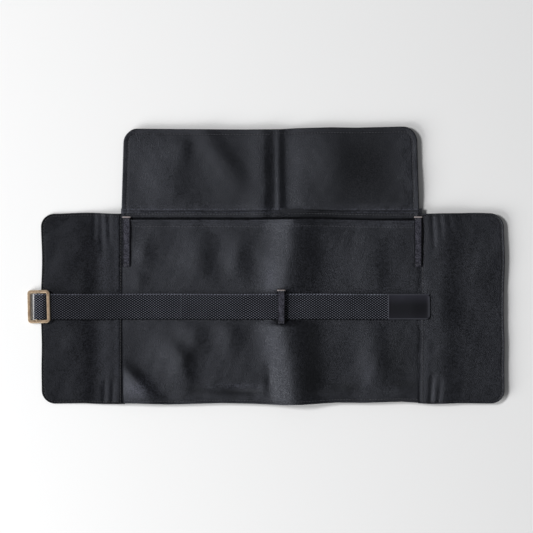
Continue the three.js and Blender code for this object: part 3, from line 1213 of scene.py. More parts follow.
@dataclass(frozen=True)
class LeatherFinish:
    """A smooth coated leather with a rubbed, paler border, and a painted reflection on its field.

    Attributes:
        field_tone: Colour of the field.
        border, border_width: Colour and width of the border.
        middle, half: Middle of the patch in plan, and half its length and width.
    """

    name: str
    field_tone: Colour
    border: Colour
    roughness: float
    middle: Point
    half: Point
    border_width: float

    def make(self, effects: SharedEffects) -> Material:
        """Builds the material on Object coordinates.

        Args:
            effects: The shared node groups.

        Returns:
            The material.
        """
        nodes = Paint(self.name)
        place = nodes.add("TexCoord").outputs["Object"]
        parts = nodes.add("SeparateXYZ", {0: place}).outputs
        offs = [nodes.math("SUBTRACT", parts[i], self.middle[i] * MM) for i in range(2)]
        gaps = [nodes.math("SUBTRACT", self.half[i] * MM, nodes.math("ABSOLUTE", offs[i])) for i in range(2)]
        inward = nodes.math("MINIMUM", *gaps)
        low, high = (self.border_width - 0.3) * MM, (self.border_width + 0.4) * MM
        painted_light_and_rubbed_border = nodes.ramp(inward, low, high, 1.0, 0.0)
        drift = nodes.effect(effects.drift, Vector=place, Scale=70.0).outputs[0]
        rim = self.half[1] * MM
        # Painted reflection: the field is painted paler towards its top edge, a little paler at its bottom
        # edge, darker between.
        upper = nodes.ramp(offs[1], 0.0, rim, 0.35, 2.8)
        lower = nodes.ramp(offs[1], -rim, -0.3 * rim, 0.9, 0.0)
        field_tone = nodes.times(rgba(self.field_tone), nodes.math("ADD", upper, lower))
        colour = nodes.times(nodes.mix(painted_light_and_rubbed_border, field_tone, rgba(self.border)), drift)
        pores = nodes.add("TexVoronoi", {"Vector": place, "Scale": 1600.0}).outputs["Distance"]
        return nodes.finish(colour, self.roughness, (0.12, 0.0002, pores), 0.3, (0.84, 0.86, 1.0))


@dataclass(frozen=True)
class BrassFinish:
    """Brass with a patchy brown patina; its upward faces are painted dark as a painted reflection, its edges
    stay bright.

    Attributes:
        bright, patina_and_reflection_tone: Colour of the bright metal, and of the patina and the painted
            reflection.
        roughness: How matt the bright metal is.
        tilt: How far the upward faces that get the painted reflection lean, in degrees.
    """

    name: str
    bright: Colour
    patina_and_reflection_tone: Colour
    roughness: float
    tilt: float = 18.3

    def make(self) -> Material:
        """Builds the material on Object coordinates.

        Returns:
            The material.
        """
        nodes = Paint(self.name)
        place = nodes.add("TexCoord").outputs
        noise = {"Vector": place["Object"], "Scale": 260.0, "Detail": 4.0, "Roughness": 0.6}
        cloud = nodes.add("TexNoise", noise).outputs[0]
        # Painted reflection: faces that look up are painted in the darker tone, as they would mirror the dim
        # room above.
        lean = math.radians(self.tilt)
        face = (-math.sin(lean), 0.0, math.cos(lean))
        facing = nodes.add("VectorMath", {0: place["Normal"], 1: face}, operation="DOT_PRODUCT")
        flat = nodes.ramp(facing.outputs["Value"], 0.9, 0.995, 0.0, 0.8)
        oxide_and_reflection = nodes.math("ADD", flat, nodes.ramp(cloud, 0.42, 0.66, -0.1, 0.2))
        colour = nodes.mix(oxide_and_reflection, rgba(self.bright), rgba(self.patina_and_reflection_tone))
        rough = nodes.ramp(oxide_and_reflection, 0.0, 0.75, self.roughness, self.roughness + 0.2)
        return nodes.finish(colour, rough, (0.15, 0.0002, cloud), metal=1.0)


@dataclass(frozen=True)
class FloorFinish:
    """A plain, pale, matt table top."""

    name: str
    colour: Colour
    roughness: float = 0.9

    def make(self) -> Material:
        """Builds the material with a faint, fine grain.

        Returns:
            The material.
        """
        nodes = Paint(self.name)
        place = nodes.add("TexCoord").outputs["Object"]
        cloud = nodes.add("TexNoise", {"Vector": place, "Scale": 350.0, "Detail": 3.0}).outputs[0]
        return nodes.finish(rgba(self.colour), self.roughness, (0.08, 0.0004, cloud))


class Finishes:
    """The roll's materials that need no sizes, built once."""

    def __init__(self) -> None:
        """Builds the shared node groups and the materials."""
        effects = SharedEffects()
        self.effects = effects
        dark, pale = (0.0006, 0.0006, 0.0009), (0.0112, 0.0116, 0.0151)
        twill = ClothFinish("charcoal_twill", dark, pale, 0.5, 1330.0, 1.0, gloss=0.44)
        self.cloth = twill.make(effects)
        self.flap_cloth = replace(twill, name="charcoal_twill_flap", dulling=0.4).make(effects)
        # A darker, less glossy copy of the twill for the left wing; its darker colour is painted shade.
        dark, pale = (0.0003, 0.0003, 0.0006), (0.0098, 0.0103, 0.0132)
        turned = ClothFinish("charcoal_twill_painted_shade", dark, pale, 0.5, 1300.0, 0.7, gloss=0.18)
        self.painted_shade_cloth = turned.make(effects)
        # A darker copy for the back panel, which shows only in the pocket's mouth: painted shade inside the
        # pocket.
        dark, pale = (0.0002, 0.0002, 0.0004), (0.0075, 0.0078, 0.01)
        inside = ClothFinish("charcoal_twill_pocket_shade", dark, pale, 0.5, 1300.0, 0.7, gloss=0.1)
        self.pocket_shade_cloth = inside.make(effects)
        dark, pale = (0.004, 0.004, 0.005), (0.014, 0.0145, 0.017)
        self.lining = ClothFinish("charcoal_lining", dark, pale, 0.6, 1200.0, 0.4).make(effects)
        self.thread = ThreadFinish("charcoal_thread", (0.03, 0.031, 0.038), 0.5).make(effects)
        dark, pale, fold = (0.0155, 0.0152, 0.02), (0.057, 0.056, 0.072), (0.3, 0.26, 0.255)
        self.tape = TapeFinish("charcoal_tape", dark, pale, fold, 0.55).make(effects)
        self.dark_thread = ThreadFinish("dark_thread", (0.009, 0.0094, 0.012), 0.5).make(effects)
        self.brass = BrassFinish("aged_brass", (0.52, 0.42, 0.305), (0.2, 0.14, 0.094), 0.55).make()


Folds = list[Crease | Undulation]
FULL: Point = (1.0, 1.0)
FADES: Point = (0.0, 1.0)


def by_side(left: float, right: float) -> dict[Side, float]:
    """Returns a dataclass field that has one value for each side of the roll."""
    return field(default_factory=lambda: dict(zip(HALVES, (left, right))))


@dataclass
class Drape:
    """The folds that the roll's cloth has taken, shared by its layers.

    Attributes:
        main_ridge: The line of the fold that stands beside the spine.
    """

    layout: Layout
    main_ridge: tuple[Point, ...] = ((30, -142), (26, -95), (20.5, -60), (20.5, -29), (23, -6), (29, 52))

    def pocket(self) -> Folds:
        """Returns the folds of the outer slip pocket."""
        return [
            Crease(self.main_ridge, 7.8, 18.5, 23, (1, 0.88)),
            Crease(((-122, -10), (-121, 38)), 1.7, 10, 9),
            Crease(((-68, -22), (-64, 42)), 2.4, 20, 11),
            Crease(((-31, -26), (-27, 40)), 2.2, 11, 11),
            Crease(((-134, -24), (-120, -4)), 0.9, 8, 6),
            Crease(((-150, -41), (160, -41)), -0.9, 15, 9, FULL),
            Crease(((-98, -147), (-158, -87)), 5.6, 13, 8),
            Crease(((-78, -140), (-84, -92), (-112, -60)), 3.6, 17, 9),
            Crease(((-70, -98), (-74, -46)), 2.6, 16, 13),
            Crease(((-36, -98), (-36, -44)), 2.2, 12, 12),
            Crease(((-66, -124), (-24, -125), (8, -126)), -2, 5.5, 4),
            Crease(((5, -138), (3, -92)), -1.7, 5, 4.5),
            Crease(((110, -46), (107, 44)), 1.9, 25, 13),
            Crease(((112, -140), (109, -92), (106, -40)), 2.1, 14, 12, (0.4, 0.2)),
            Crease(((44, -127), (98, -126)), 1.3, 6, 6),
            Crease(((112, -127), (158, -126)), 1, 6, 6),
            Undulation(11, 26, 58, 0.22),
            Undulation(12, 9, 18, 0.05),
        ]

    def flap(self) -> Folds:
        """Returns the folds of the top flap."""
        left, right = self.layout.crease.values()
        return [
            Crease(((-16, 64), (-33, 92), (-54, 120), (-66, 144)), 2.9, 15, 10.5, (0.2, 0.6)),
            Crease(((-3, 58), (-2, 80), (-3, 104), (-3, 142)), 2.2, 13, 6.5, (0.9, 0.5)),
            Crease(((left + 3, 60), (left + 2.5, 100), (left + 3.5, 142)), -0.8, 6, 3, (1, 0.5)),
            Crease(((right, 62), (right - 1, 100), (right - 1.5, 142)), -2.3, 6, 14, (1, 0.6)),
            Crease(((68, 62), (71, 147)), 3.2, 24, 17),
            Crease(((13.5, 60), (13, 142)), 0.5, 4, 3.5, FULL),
            Crease(((-84, 98), (-82, 138)), 1.4, 14, 7),
            Crease(((-98, 46), (-86, 140)), 2.9, 26, 15),
            Crease(((-160, 56), (170, 56)), -0.8, 12, 8, FULL),
            Crease(((-124, 54.6), (170, 54.6)), -0.7, 0.9, 0.9, FULL),
            Undulation(21, 26, 58, 0.22),
            Undulation(22, 9, 18, 0.05),
        ]

    def wing(self, side: Side) -> Folds:
        """Lists the folds of one wing.

        Args:
            side: The wing.

        Returns:
            Its folds.
        """
        foot, head = self.layout.foot, self.layout.wing_head
        if side is Side.LEFT:
            return [
                Crease(((-170, foot - 4), (-169, -40), (-170, head + 4)), -1.5, 11, 12, FULL),
                Crease(((-146.2, foot - 4), (-147.2, head + 4)), 0.5, 4, 2.2, FULL),
                Crease(((-163, head - 50), (-165, head + 3)), -0.8, 2.8, 2.4, FADES),
                Crease(((-156, head - 38), (-157.5, head + 3)), -0.75, 2.4, 2.2, FADES),
                Crease(((-172, head - 34), (-171, head + 3)), -0.6, 2.6, 2.6, FADES),
                Crease(((-161, foot + 34), (-162, foot - 3)), -0.75, 2.6, 2.4, FADES),
                Crease(((-153, foot + 28), (-154, foot - 3)), -0.7, 2.2, 2.2, FADES),
                Crease(((-220, -34), (-182, 34)), 0.8, 12, 11),
                Crease(((-214, -104), (-176, -56)), 0.6, 11, 11),
                Crease(((-220, 30), (-172, 46)), 0.45, 5, 5),
                Undulation(31, 24, 50, 0.2),
                Undulation(32, 8, 16, 0.05),
            ]
        return [
            Crease(((179, foot - 4), (178, -40), (180, head + 4)), 1.5, 11, 13, FULL),
            Crease(((162, foot - 4), (163, head + 4)), 0.5, 5, 12, FULL),
            Crease(((166, -41), (176, -41)), 1.2, 15, 15, FULL),
            Crease(((169, head - 46), (166, head + 3)), -0.6, 2.8, 2.4, FADES),
            Crease(((177, head - 36), (174, head + 3)), -0.5, 2.6, 2.2, FADES),
            Crease(((188, head - 28), (181, head + 3)), -0.4, 2.8, 2.4, FADES),
            Crease(((167, foot + 38), (164, foot - 3)), -0.75, 2.6, 2.4, FADES),
            Crease(((175, foot + 32), (172, foot - 3)), -0.7, 2.4, 2.2, FADES),
            Crease(((198, -38), (228, 26)), 0.7, 11, 11),
            Crease(((184, -134), (218, -68)), 0.6, 12, 11),
            Undulation(41, 24, 50, 0.2),
            Undulation(42, 8, 16, 0.05),
        ]


SEAM_LEANS = {Side.LEFT: (1.3, -0.2), Side.RIGHT: (-1.8, 0.6)}


def seam_lean(side: Side, y: Array) -> Array:
    """Returns how far a side seam wanders to the right from its foot to its head, or left below 0."""
    foot, head = SEAM_LEANS[side]
    return foot + (head - foot) * smooth(-125.0, 50.0, y)


def mouth_wave(x: Array) -> Array:
    """Returns how the pocket's mouth wanders: up beside the spine, down towards the right loop."""
    return 0.7 * bell(x - 42.0, 30.0) - 0.8 * smooth(60.0, 125.0, x)


FOOT_KNOTS = (-225, -183, -165, -132, -96, -45, -14, 18, 36, 70, 98, 136, 166, 195, 238)
FOOT_MOVES = (0.0, 0.6, -0.2, -0.3, -1.3, 0.2, -0.4, -1.9, -1.6, 0.7, 0.4, 1.6, -0.2, 0.6, 0.2)
HEAD_KNOTS = (-145, -90, -20, 14, 30, 66, 90, 134, 153)
HEAD_MOVES = (-0.6, -1.2, -1.6, -1.3, -0.3, 0.6, 0.2, 1.3, 1.3)


def foot_wave(x: Array) -> Array:
    """Returns how far the roll's bottom edge wavers up, or down below 0."""
    return np.interp(x, FOOT_KNOTS, FOOT_MOVES)


def head_wave(x: Array) -> Array:
    """Returns how far the flap's top edge wavers up, or down below 0."""
    return np.interp(x, HEAD_KNOTS, HEAD_MOVES)


@dataclass
class ClothWork:
    """What every sub-assembly of cloth is made with.

    Attributes:
        layout, drape, finishes, sewing: The roll's lines, folds, materials and thread.
        rubs: Where light and shade are painted into its colour.
    """

    layout: Layout
    drape: Drape
    finishes: Finishes
    sewing: Sewing
    rubs: tuple[LightPatch, ...] = ()

    def toned(self, x: Array, y: Array) -> Array:
        """Returns how much paler the cloth is painted at plan points as highlight, or darker below 0 as
        shade.
        """
        return sum(rub.tone(x, y) for rub in self.rubs)


@dataclass
class CentrePanels(ClothWork):
    """The centre of the roll: slip pocket, back panel and lining, each split on the spine's middle line.

    Attributes:
        strap_under: How high the pocket stands under the strap at most.
        pressed: What the strap leaves of a fold's height.
        hem_band, hem_calm: How far under the mouth the hem's painted highlight reaches, and where along it
            that stays away.
        under_pocket: Least room between the back panel and the pocket's valleys.
    """

    pocket_top: float = 8.8
    pocket_cloth: float = 0.9
    pocket_inset: float = 1.5
    pocket_foot: float = 0.6
    mouth_lift: float = 0.9
    mouth_reach: float = 14.0
    mouth_drop: float = 1.8
    mouth_stitch: float = 6.6
    foot_stitch: float = 3.0
    strap_under: float = 10.1
    pressed: float = 0.36
    press_reach: float = 8.0
    seam_dip: float = 0.45
    seam_reach: float = 2.4
    hem_highlight: float = 0.9
    hem_band: Point = (11.0, 8.5)
    hem_calm: tuple[Point, ...] = ((-112.0, 20.0), (54.0, 26.0))
    # Painted light: painted highlights above 0 and painted shade below 0 on the pocket's folds and hem.
    rubs: tuple[LightPatch, ...] = (
        LightPatch(4, -12, 8, 16, 1.5),
        LightPatch(5, -76, 9, 24, 0.9),
        LightPatch(-127, -124, 16, 10, 3),
        LightPatch(48, -88, 15, 40, -0.85),
        LightPatch(-78, -88, 16, 12, -0.5),
        LightPatch(130, -92, 18, 28, -0.8),
        LightPatch(101, -108, 5, 18, 0.9),
        LightPatch(-26, -125.8, 28, 2.4, -0.95),
        LightPatch(-30, -120, 26, 2.6, 1.9),
        LightPatch(80, -121, 17, 5, -0.9),
        LightPatch(140, -118, 18, 3.5, -0.8),
        LightPatch(46, -114, 14, 14, -0.5),
        LightPatch(-72, -124, 10, 6, -0.8),
        LightPatch(-131, -106, 7, 7, -0.5),
        LightPatch(-116, -121, 6, 6, -0.6),
    )
    back_top: float = 7.2
    back_cloth: float = 0.45
    back_inset: float = 5.0
    back_dip: float = 1.35
    under_pocket: float = 0.25
    lining_top: float = 6.0
    lining_cloth: float = 0.7
    inner_foot: float = 1.3

    def span(self, side: Side, head: float, inset: float, foot: float) -> tuple[float, float, float, float]:
        """Returns the cut of a panel that ends on the spine's middle line."""
        ends = (self.layout.seam[side] - side.sign * inset, self.layout.spine)
        return min(ends), max(ends), self.layout.foot + foot, head

    def bend(self, side: Side) -> Bend:
        """Returns the bend that one side's layers lie across."""
        return self.layout.spine_bend(side, f"{side.value}_half", "spine")

    def pocket_height(self, x: Array, y: Array) -> Array:
        """Measures the pocket: its mouth gapes, its right seam and the strap hold it down.

        Args:
            x, y: Plan points.

        Returns:
            Its height at the points.
        """
        mouth, low, high = self.layout.mouth, self.layout.strap_low, self.layout.strap_high
        side = np.maximum(self.layout.seam[Side.RIGHT] - self.pocket_inset - x, 0.0)
        gape = self.mouth_lift * smooth(mouth - self.mouth_reach, mouth, y)
        level = self.pocket_top + gape - self.seam_dip * bell(side, self.seam_reach)
        below = smooth(low - self.press_reach, low + 1.0, y)
        above = 1.0 - smooth(high - 1.0, high + self.press_reach, y)
        folds = sum(fold.height(x, y) for fold in self.drape.pocket())
        free = level + folds * (1.0 - (1.0 - self.pressed) * below * above)
        beside = np.maximum(np.maximum(low - 0.5 - y, y - high - 0.5), 0.0)
        return np.minimum(free, self.strap_under + beside)

    def pocket_painted_light(self, x: Array, y: Array) -> Array:
        """Measures the painted light on the pocket: a painted highlight along its hem, and painted light
        patches.

        Args:
            x, y: Plan points.

        Returns:
            How much paler it is painted, or darker below 0.
        """
        start, full = (self.layout.mouth - down for down in self.hem_band)
        calm = sum(bell(x - middle, reach) for middle, reach in self.hem_calm)
        return self.hem_highlight * smooth(start, full, y) * (1.0 - calm) + self.toned(x, y)

    def ground(self, x: float, y: float) -> float:
        """Returns the pocket's height at one plan point."""
        return float(self.pocket_height(np.array([x]), np.array([y]))[0])

    def make(self, side: Side, panel: ClothPanel, layer: str, cloth: Material, slot: Slot) -> Piece:
        """Builds a panel as one side's layer; the left side's also stands for the spine's."""
        nodes = [f"{side.value}_{layer}"] + ([f"spine_{layer}"] if side is Side.LEFT else [])
        return panel.make(cloth, slot, self.bend(side), nodes)

    def build_pocket(self, side: Side) -> Piece:
        """Builds one side of the outer slip pocket with its stitches.

        Args:
            side: The side.

        Returns:
            The pocket.
        """
        waver = Undulation(51, 12.0, 40.0, 0.3)

        def lean(y: Array) -> Array:
            """Returns how far the pocket's outer edge follows the seam."""
            return seam_lean(side, y) + waver.height_along(y)

        name = f"slip_pocket_{side.value}"
        cut = self.span(side, self.layout.mouth - self.mouth_drop, self.pocket_inset, self.pocket_foot)
        panel = ClothPanel(name, *cut, self.pocket_height, self.pocket_cloth, pitch=1.25)
        panel.hem = Hem((Side.FOOT, Side.HEAD), stitch=self.foot_stitch, roll=0.2)
        panel.painted_light = self.pocket_painted_light
        panel.waves = {Side.FOOT: foot_wave, Side.HEAD: mouth_wave, side: lean}
        obj = self.make(side, panel, "outer_pocket", self.finishes.cloth, Slot.OUTER)
        rows = (panel.y1 - self.mouth_stitch, panel.y0 + self.foot_stitch)
        lines = [((panel.x0 + 1.0, y), (panel.x1 - 1.0, y)) for y in rows]
        thread = self.sewing.sew(f"{name}_stitches", panel, lines, self.finishes.thread, self.bend(side))
        panel.declare(obj, [f"back_panel_{side.value}"], [thread])
        return obj

    def build_back(self, side: Side) -> Piece:
        """Builds one side of the back panel, which runs up under the flap's seam.

        Args:
            side: The side.

        Returns:
            The back panel.
        """
        seam = self.layout.flap_fold - 3.0

        def level(x: Array, y: Array) -> Array:
            """Returns a flat top that dips under the flap's seam and under the pocket's valleys."""
            top = self.back_top - self.back_dip * smooth(seam - 12.0, seam - 3.0, y)
            return np.minimum(top, self.pocket_height(x, y) - self.pocket_cloth - self.under_pocket)

        name, waves = f"back_panel_{side.value}", {Side.FOOT: foot_wave}
        cut = self.span(side, self.layout.flap_fold - 0.8, self.back_inset, self.inner_foot)
        panel = ClothPanel(name, *cut, level, self.back_cloth, pitch=2.0, waves=waves)
        # The darker cloth is painted shade seen in the pocket's mouth.
        obj = self.make(side, panel, "back_panel", self.finishes.pocket_shade_cloth, Slot.OUTER)
        panel.declare(obj, [f"lining_{side.value}"])
        return obj

    def build_lining(self, side: Side) -> Piece:
        """Builds one side of the lining under the centre.

        Args:
            side: The side.

        Returns:
            The lining.
        """

        def level(x: Array, y: Array) -> Array:
            """Returns a flat top."""
            return np.full(x.shape, self.lining_top)

        name, waves = f"lining_{side.value}", {Side.FOOT: foot_wave}
        folds = (Undulation(61, 30, 60, 0.08),)
        cut = self.span(side, self.layout.flap_fold - 0.5, 0.0, self.inner_foot)
        panel = ClothPanel(name, *cut, level, self.lining_cloth, pitch=2.4, folds=folds, waves=waves)
        obj = self.make(side, panel, "lining", self.finishes.lining, Slot.LINING)
        panel.declare(obj, ["table"])
        return obj

    def build(self) -> None:
        """Builds both sides of every layer."""
        for side in HALVES:
            for make in (self.build_lining, self.build_back, self.build_pocket):
                log.info("piece %s", make(side).name)


@dataclass
class SlotPanels(ClothWork):
    """The slot panels under the lining, sewn into open-ended brush and pencil slots.

    Attributes:
        counts: Number of slots, by side.
        land, flank: Width of the sewn lands, and of a slot's rising sides.
        hem, toe: Height of the hem, and length over which the slots open above it.
        fullness: Extra cloth in each slot.
    """

    counts: dict[Side, int] = by_side(6, 5)
    land: float = 4.0
    flank: float = 4.2
    hem: float = 5.0
    toe: float = 14.0
    cloth: float = 0.8
    fullness: float = 5.0

    def build_side(self, side: Side) -> Piece:
        """Builds one half's slot panel with the stitches on its lands.

        Args:
            side: The half.

        Returns:
            The panel.
        """
        low, high = node_corners(f"{side.value}_slot_pocket")
        count = self.counts[side]
        pitch = (high.x - low.x - self.land) / count
        depth = high.z - low.z - self.cloth

        def level(x: Array, y: Array) -> Array:
            """Measures the panel: sewn down on the lands, standing off between them.

            Args:
                x, y: Plan points.

            Returns:
                Its height at the points.
            """
            across = np.mod(x - low.x - self.land, pitch)
            width = pitch - self.land
            swell = smooth(0.0, self.flank, across) * (1.0 - smooth(width - self.flank, width, across))
            swell = swell * (x > low.x + self.land * 0.5) * (x < high.x - self.land * 0.5)
            opened = smooth(low.y + self.hem, low.y + self.hem + self.toe, y)
            return high.z - depth * swell * opened

        name = f"slot_panel_{side.value}"
        panel = ClothPanel(name, low.x, high.x, low.y, high.y, level, self.cloth, grading=0.0)
        obj = panel.build()
        dress(obj, self.finishes.lining, Slot.LINING)
        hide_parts(f"{side.value}_slot_pocket")
        lands = [low.x + self.land * 0.5 + i * pitch for i in range(count + 1)]
        lines = [((x, low.y + 1.5), (x, high.y - 1.5)) for x in lands]
        lines.append(((low.x + 2.0, low.y + 1.6), (high.x - 2.0, low.y + 1.6)))
        under = replace(self.sewing, stand=-self.cloth - self.sewing.stand)
        thread = under.row(f"{name}_stitches", panel, lines)
        dress(thread, self.finishes.thread, Slot.LINING)
        for piece in (obj, thread):
            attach(piece, f"{side.value}_half")
        return obj

    def build(self) -> None:
        """Builds both halves' slot panels."""
        for side in HALVES:
            log.info("piece %s", self.build_side(side).name)


@dataclass
class SideWings(ClothWork):
    """The two wings that fold in from the sides, each a shell and a lining.

    Attributes:
        lap, trim: How far the wing runs in under the pocket, and how much shorter it is, by side.
        groove, edge_roll: Depth of the seam's groove and rounding of the hem, by side.
        head_dip, seam_swell: How far the left wing's head sinks, and the right wing stands at its seam.
    """

    seam_top: float = 7.3
    edge_top: dict[Side, float] = by_side(2.5, 5.7)
    table_top: float = 2.0
    shell_cloth: float = 0.9
    lining_cloth: float = 0.6
    lining_inset: float = 1.5
    lining_gap: float = 0.1
    lap: float = 4.0
    trim: dict[Side, float] = by_side(0.0, 0.6)
    fold_reach: float = 8.0
    groove: dict[Side, float] = by_side(0.3, 0.12)
    edge_roll: dict[Side, float] = by_side(1.1, 0.35)
    head_dip: float = 2.6
    dip_reach: float = 34.0
    seam_swell: float = 1.1
    swell_reach: float = 44.0
    corner: float = 13.5
    stitch: float = 2.3
    seam_stitch: dict[Side, float] = by_side(0.3, 0.8)
    # Painted highlights along the left wing beside its seam.
    rubs: tuple[LightPatch, ...] = (LightPatch(-161, -20, 7, 160, 0.8), LightPatch(-149.5, -20, 3, 160, 0.9))

    def height(self, side: Side, x: Array, y: Array) -> Array:
        """Measures one wing's shell without folds: flat at the seam, then down to the table.

        Args:
            side: The wing.
            x, y: Plan points.

        Returns:
            Its height at the points.
        """
        fold, seam, head = self.layout.fold[side], self.layout.seam[side], self.layout.wing_head
        fall = (self.seam_top - self.edge_top[side]) / abs(self.layout.edge[side] - fold)
        out = side.sign * (x - fold)
        past = (out + np.hypot(out, self.fold_reach)) / 2.0
        groove = -self.groove[side] * bell(x - seam - seam_lean(side, y), 1.2)
        if side is Side.LEFT:
            shift = -self.head_dip * smooth(head - self.dip_reach, head, y) * smooth(4.0, 30.0, out)
        else:
            shift = self.seam_swell * fade(self.swell_reach, x - seam)
        return np.maximum(self.seam_top - fall * past + groove + shift, self.table_top)

    def panel(self, side: Side, lining: bool) -> ClothPanel:
        """Cuts the shell or the lining of one wing.

        Args:
            side: The wing.
            lining: True for the lining.

        Returns:
            The panel.
        """
        inset = self.lining_inset if lining else 0.0
        inner = self.layout.seam[side] - side.sign * self.lap
        outer = self.layout.edge[side] - side.sign * (inset + self.trim[side])
        hem = Hem((side, Side.FOOT, Side.HEAD), stitch=self.stitch, roll=self.edge_roll[side])
        return ClothPanel(
            f"wing_{side.value}_{'lining' if lining else 'shell'}",
            min(inner, outer),
            max(inner, outer),
            self.layout.foot + inset,
            self.layout.wing_head - inset,
            partial(self.height, side),
            self.lining_cloth if lining else self.shell_cloth,
            self.shell_cloth + self.lining_gap if lining else 0.0,
            pitch=2.4 if lining else 1.2,
            folds=self.drape.wing(side),
            hem=None if lining else hem,
            corners=((side, Side.FOOT), (side, Side.HEAD)),
            radius=self.corner - inset,
            painted_light=None if lining else self.toned,
            waves={
                Side.FOOT: foot_wave,
                Side.HEAD: Undulation(71, 30, 60, 0.35).height_along,
                side: Undulation(72, 40, 90, 0.35).height_along,
            },
        )

    def lines(self, side: Side, panel: ClothPanel) -> Lines:
        """Places one wing's stitch lines.

        Args:
            side: The wing.
            panel: Its shell.

        Returns:
            The lines on the shell's cut.
        """
        low, high = panel.y0 + self.stitch, panel.y1 - self.stitch
        outer = (panel.x0 if side is Side.LEFT else panel.x1) - side.sign * self.stitch
        seam = self.layout.seam[side] + side.sign * self.seam_stitch[side]
        return [
            ((seam, high), (outer, high), (outer, low), (seam, low)),
            ((seam, panel.y0 + 1.0), (seam, panel.y1 - 1.0)),
        ]

    def build(self) -> None:
        """Builds both wings: lining, shell and stitches."""
        # The left wing's shell gets the darker copy of the twill: painted shade.
        cloths = dict(zip(HALVES, (self.finishes.painted_shade_cloth, self.finishes.cloth)))
        for side in HALVES:
            name, bend = side.value, self.layout.wing_bend(side)
            under, over = self.panel(side, True), self.panel(side, False)
            lining = under.make(self.finishes.lining, Slot.LINING, bend, [f"{name}_wing_lining"])
            under.declare(lining, ["table"])
            shell = over.make(cloths[side], Slot.OUTER, bend, [f"{name}_gusset", f"{name}_wing_shell"])
            lines = self.lines(side, over)
            thread = self.sewing.sew(f"wing_{name}_stitches", over, lines, self.finishes.dark_thread, bend)
            over.declare(shell, [lining.name], [thread])
            log.info("piece %s, %s and %s", lining.name, shell.name, thread.name)


@dataclass(frozen=True)
class FlapPart:
    """One of the flap's three parts, between the spine's creases.

    Attributes:
        name, body: Its name, and the body of the roll that it is sewn to.
        shell, lining: Left and right side of its two layers.
        free: Its free side, if it has one.
    """

    name: str
    body: str
    shell: Point
    lining: Point
    free: Side | None


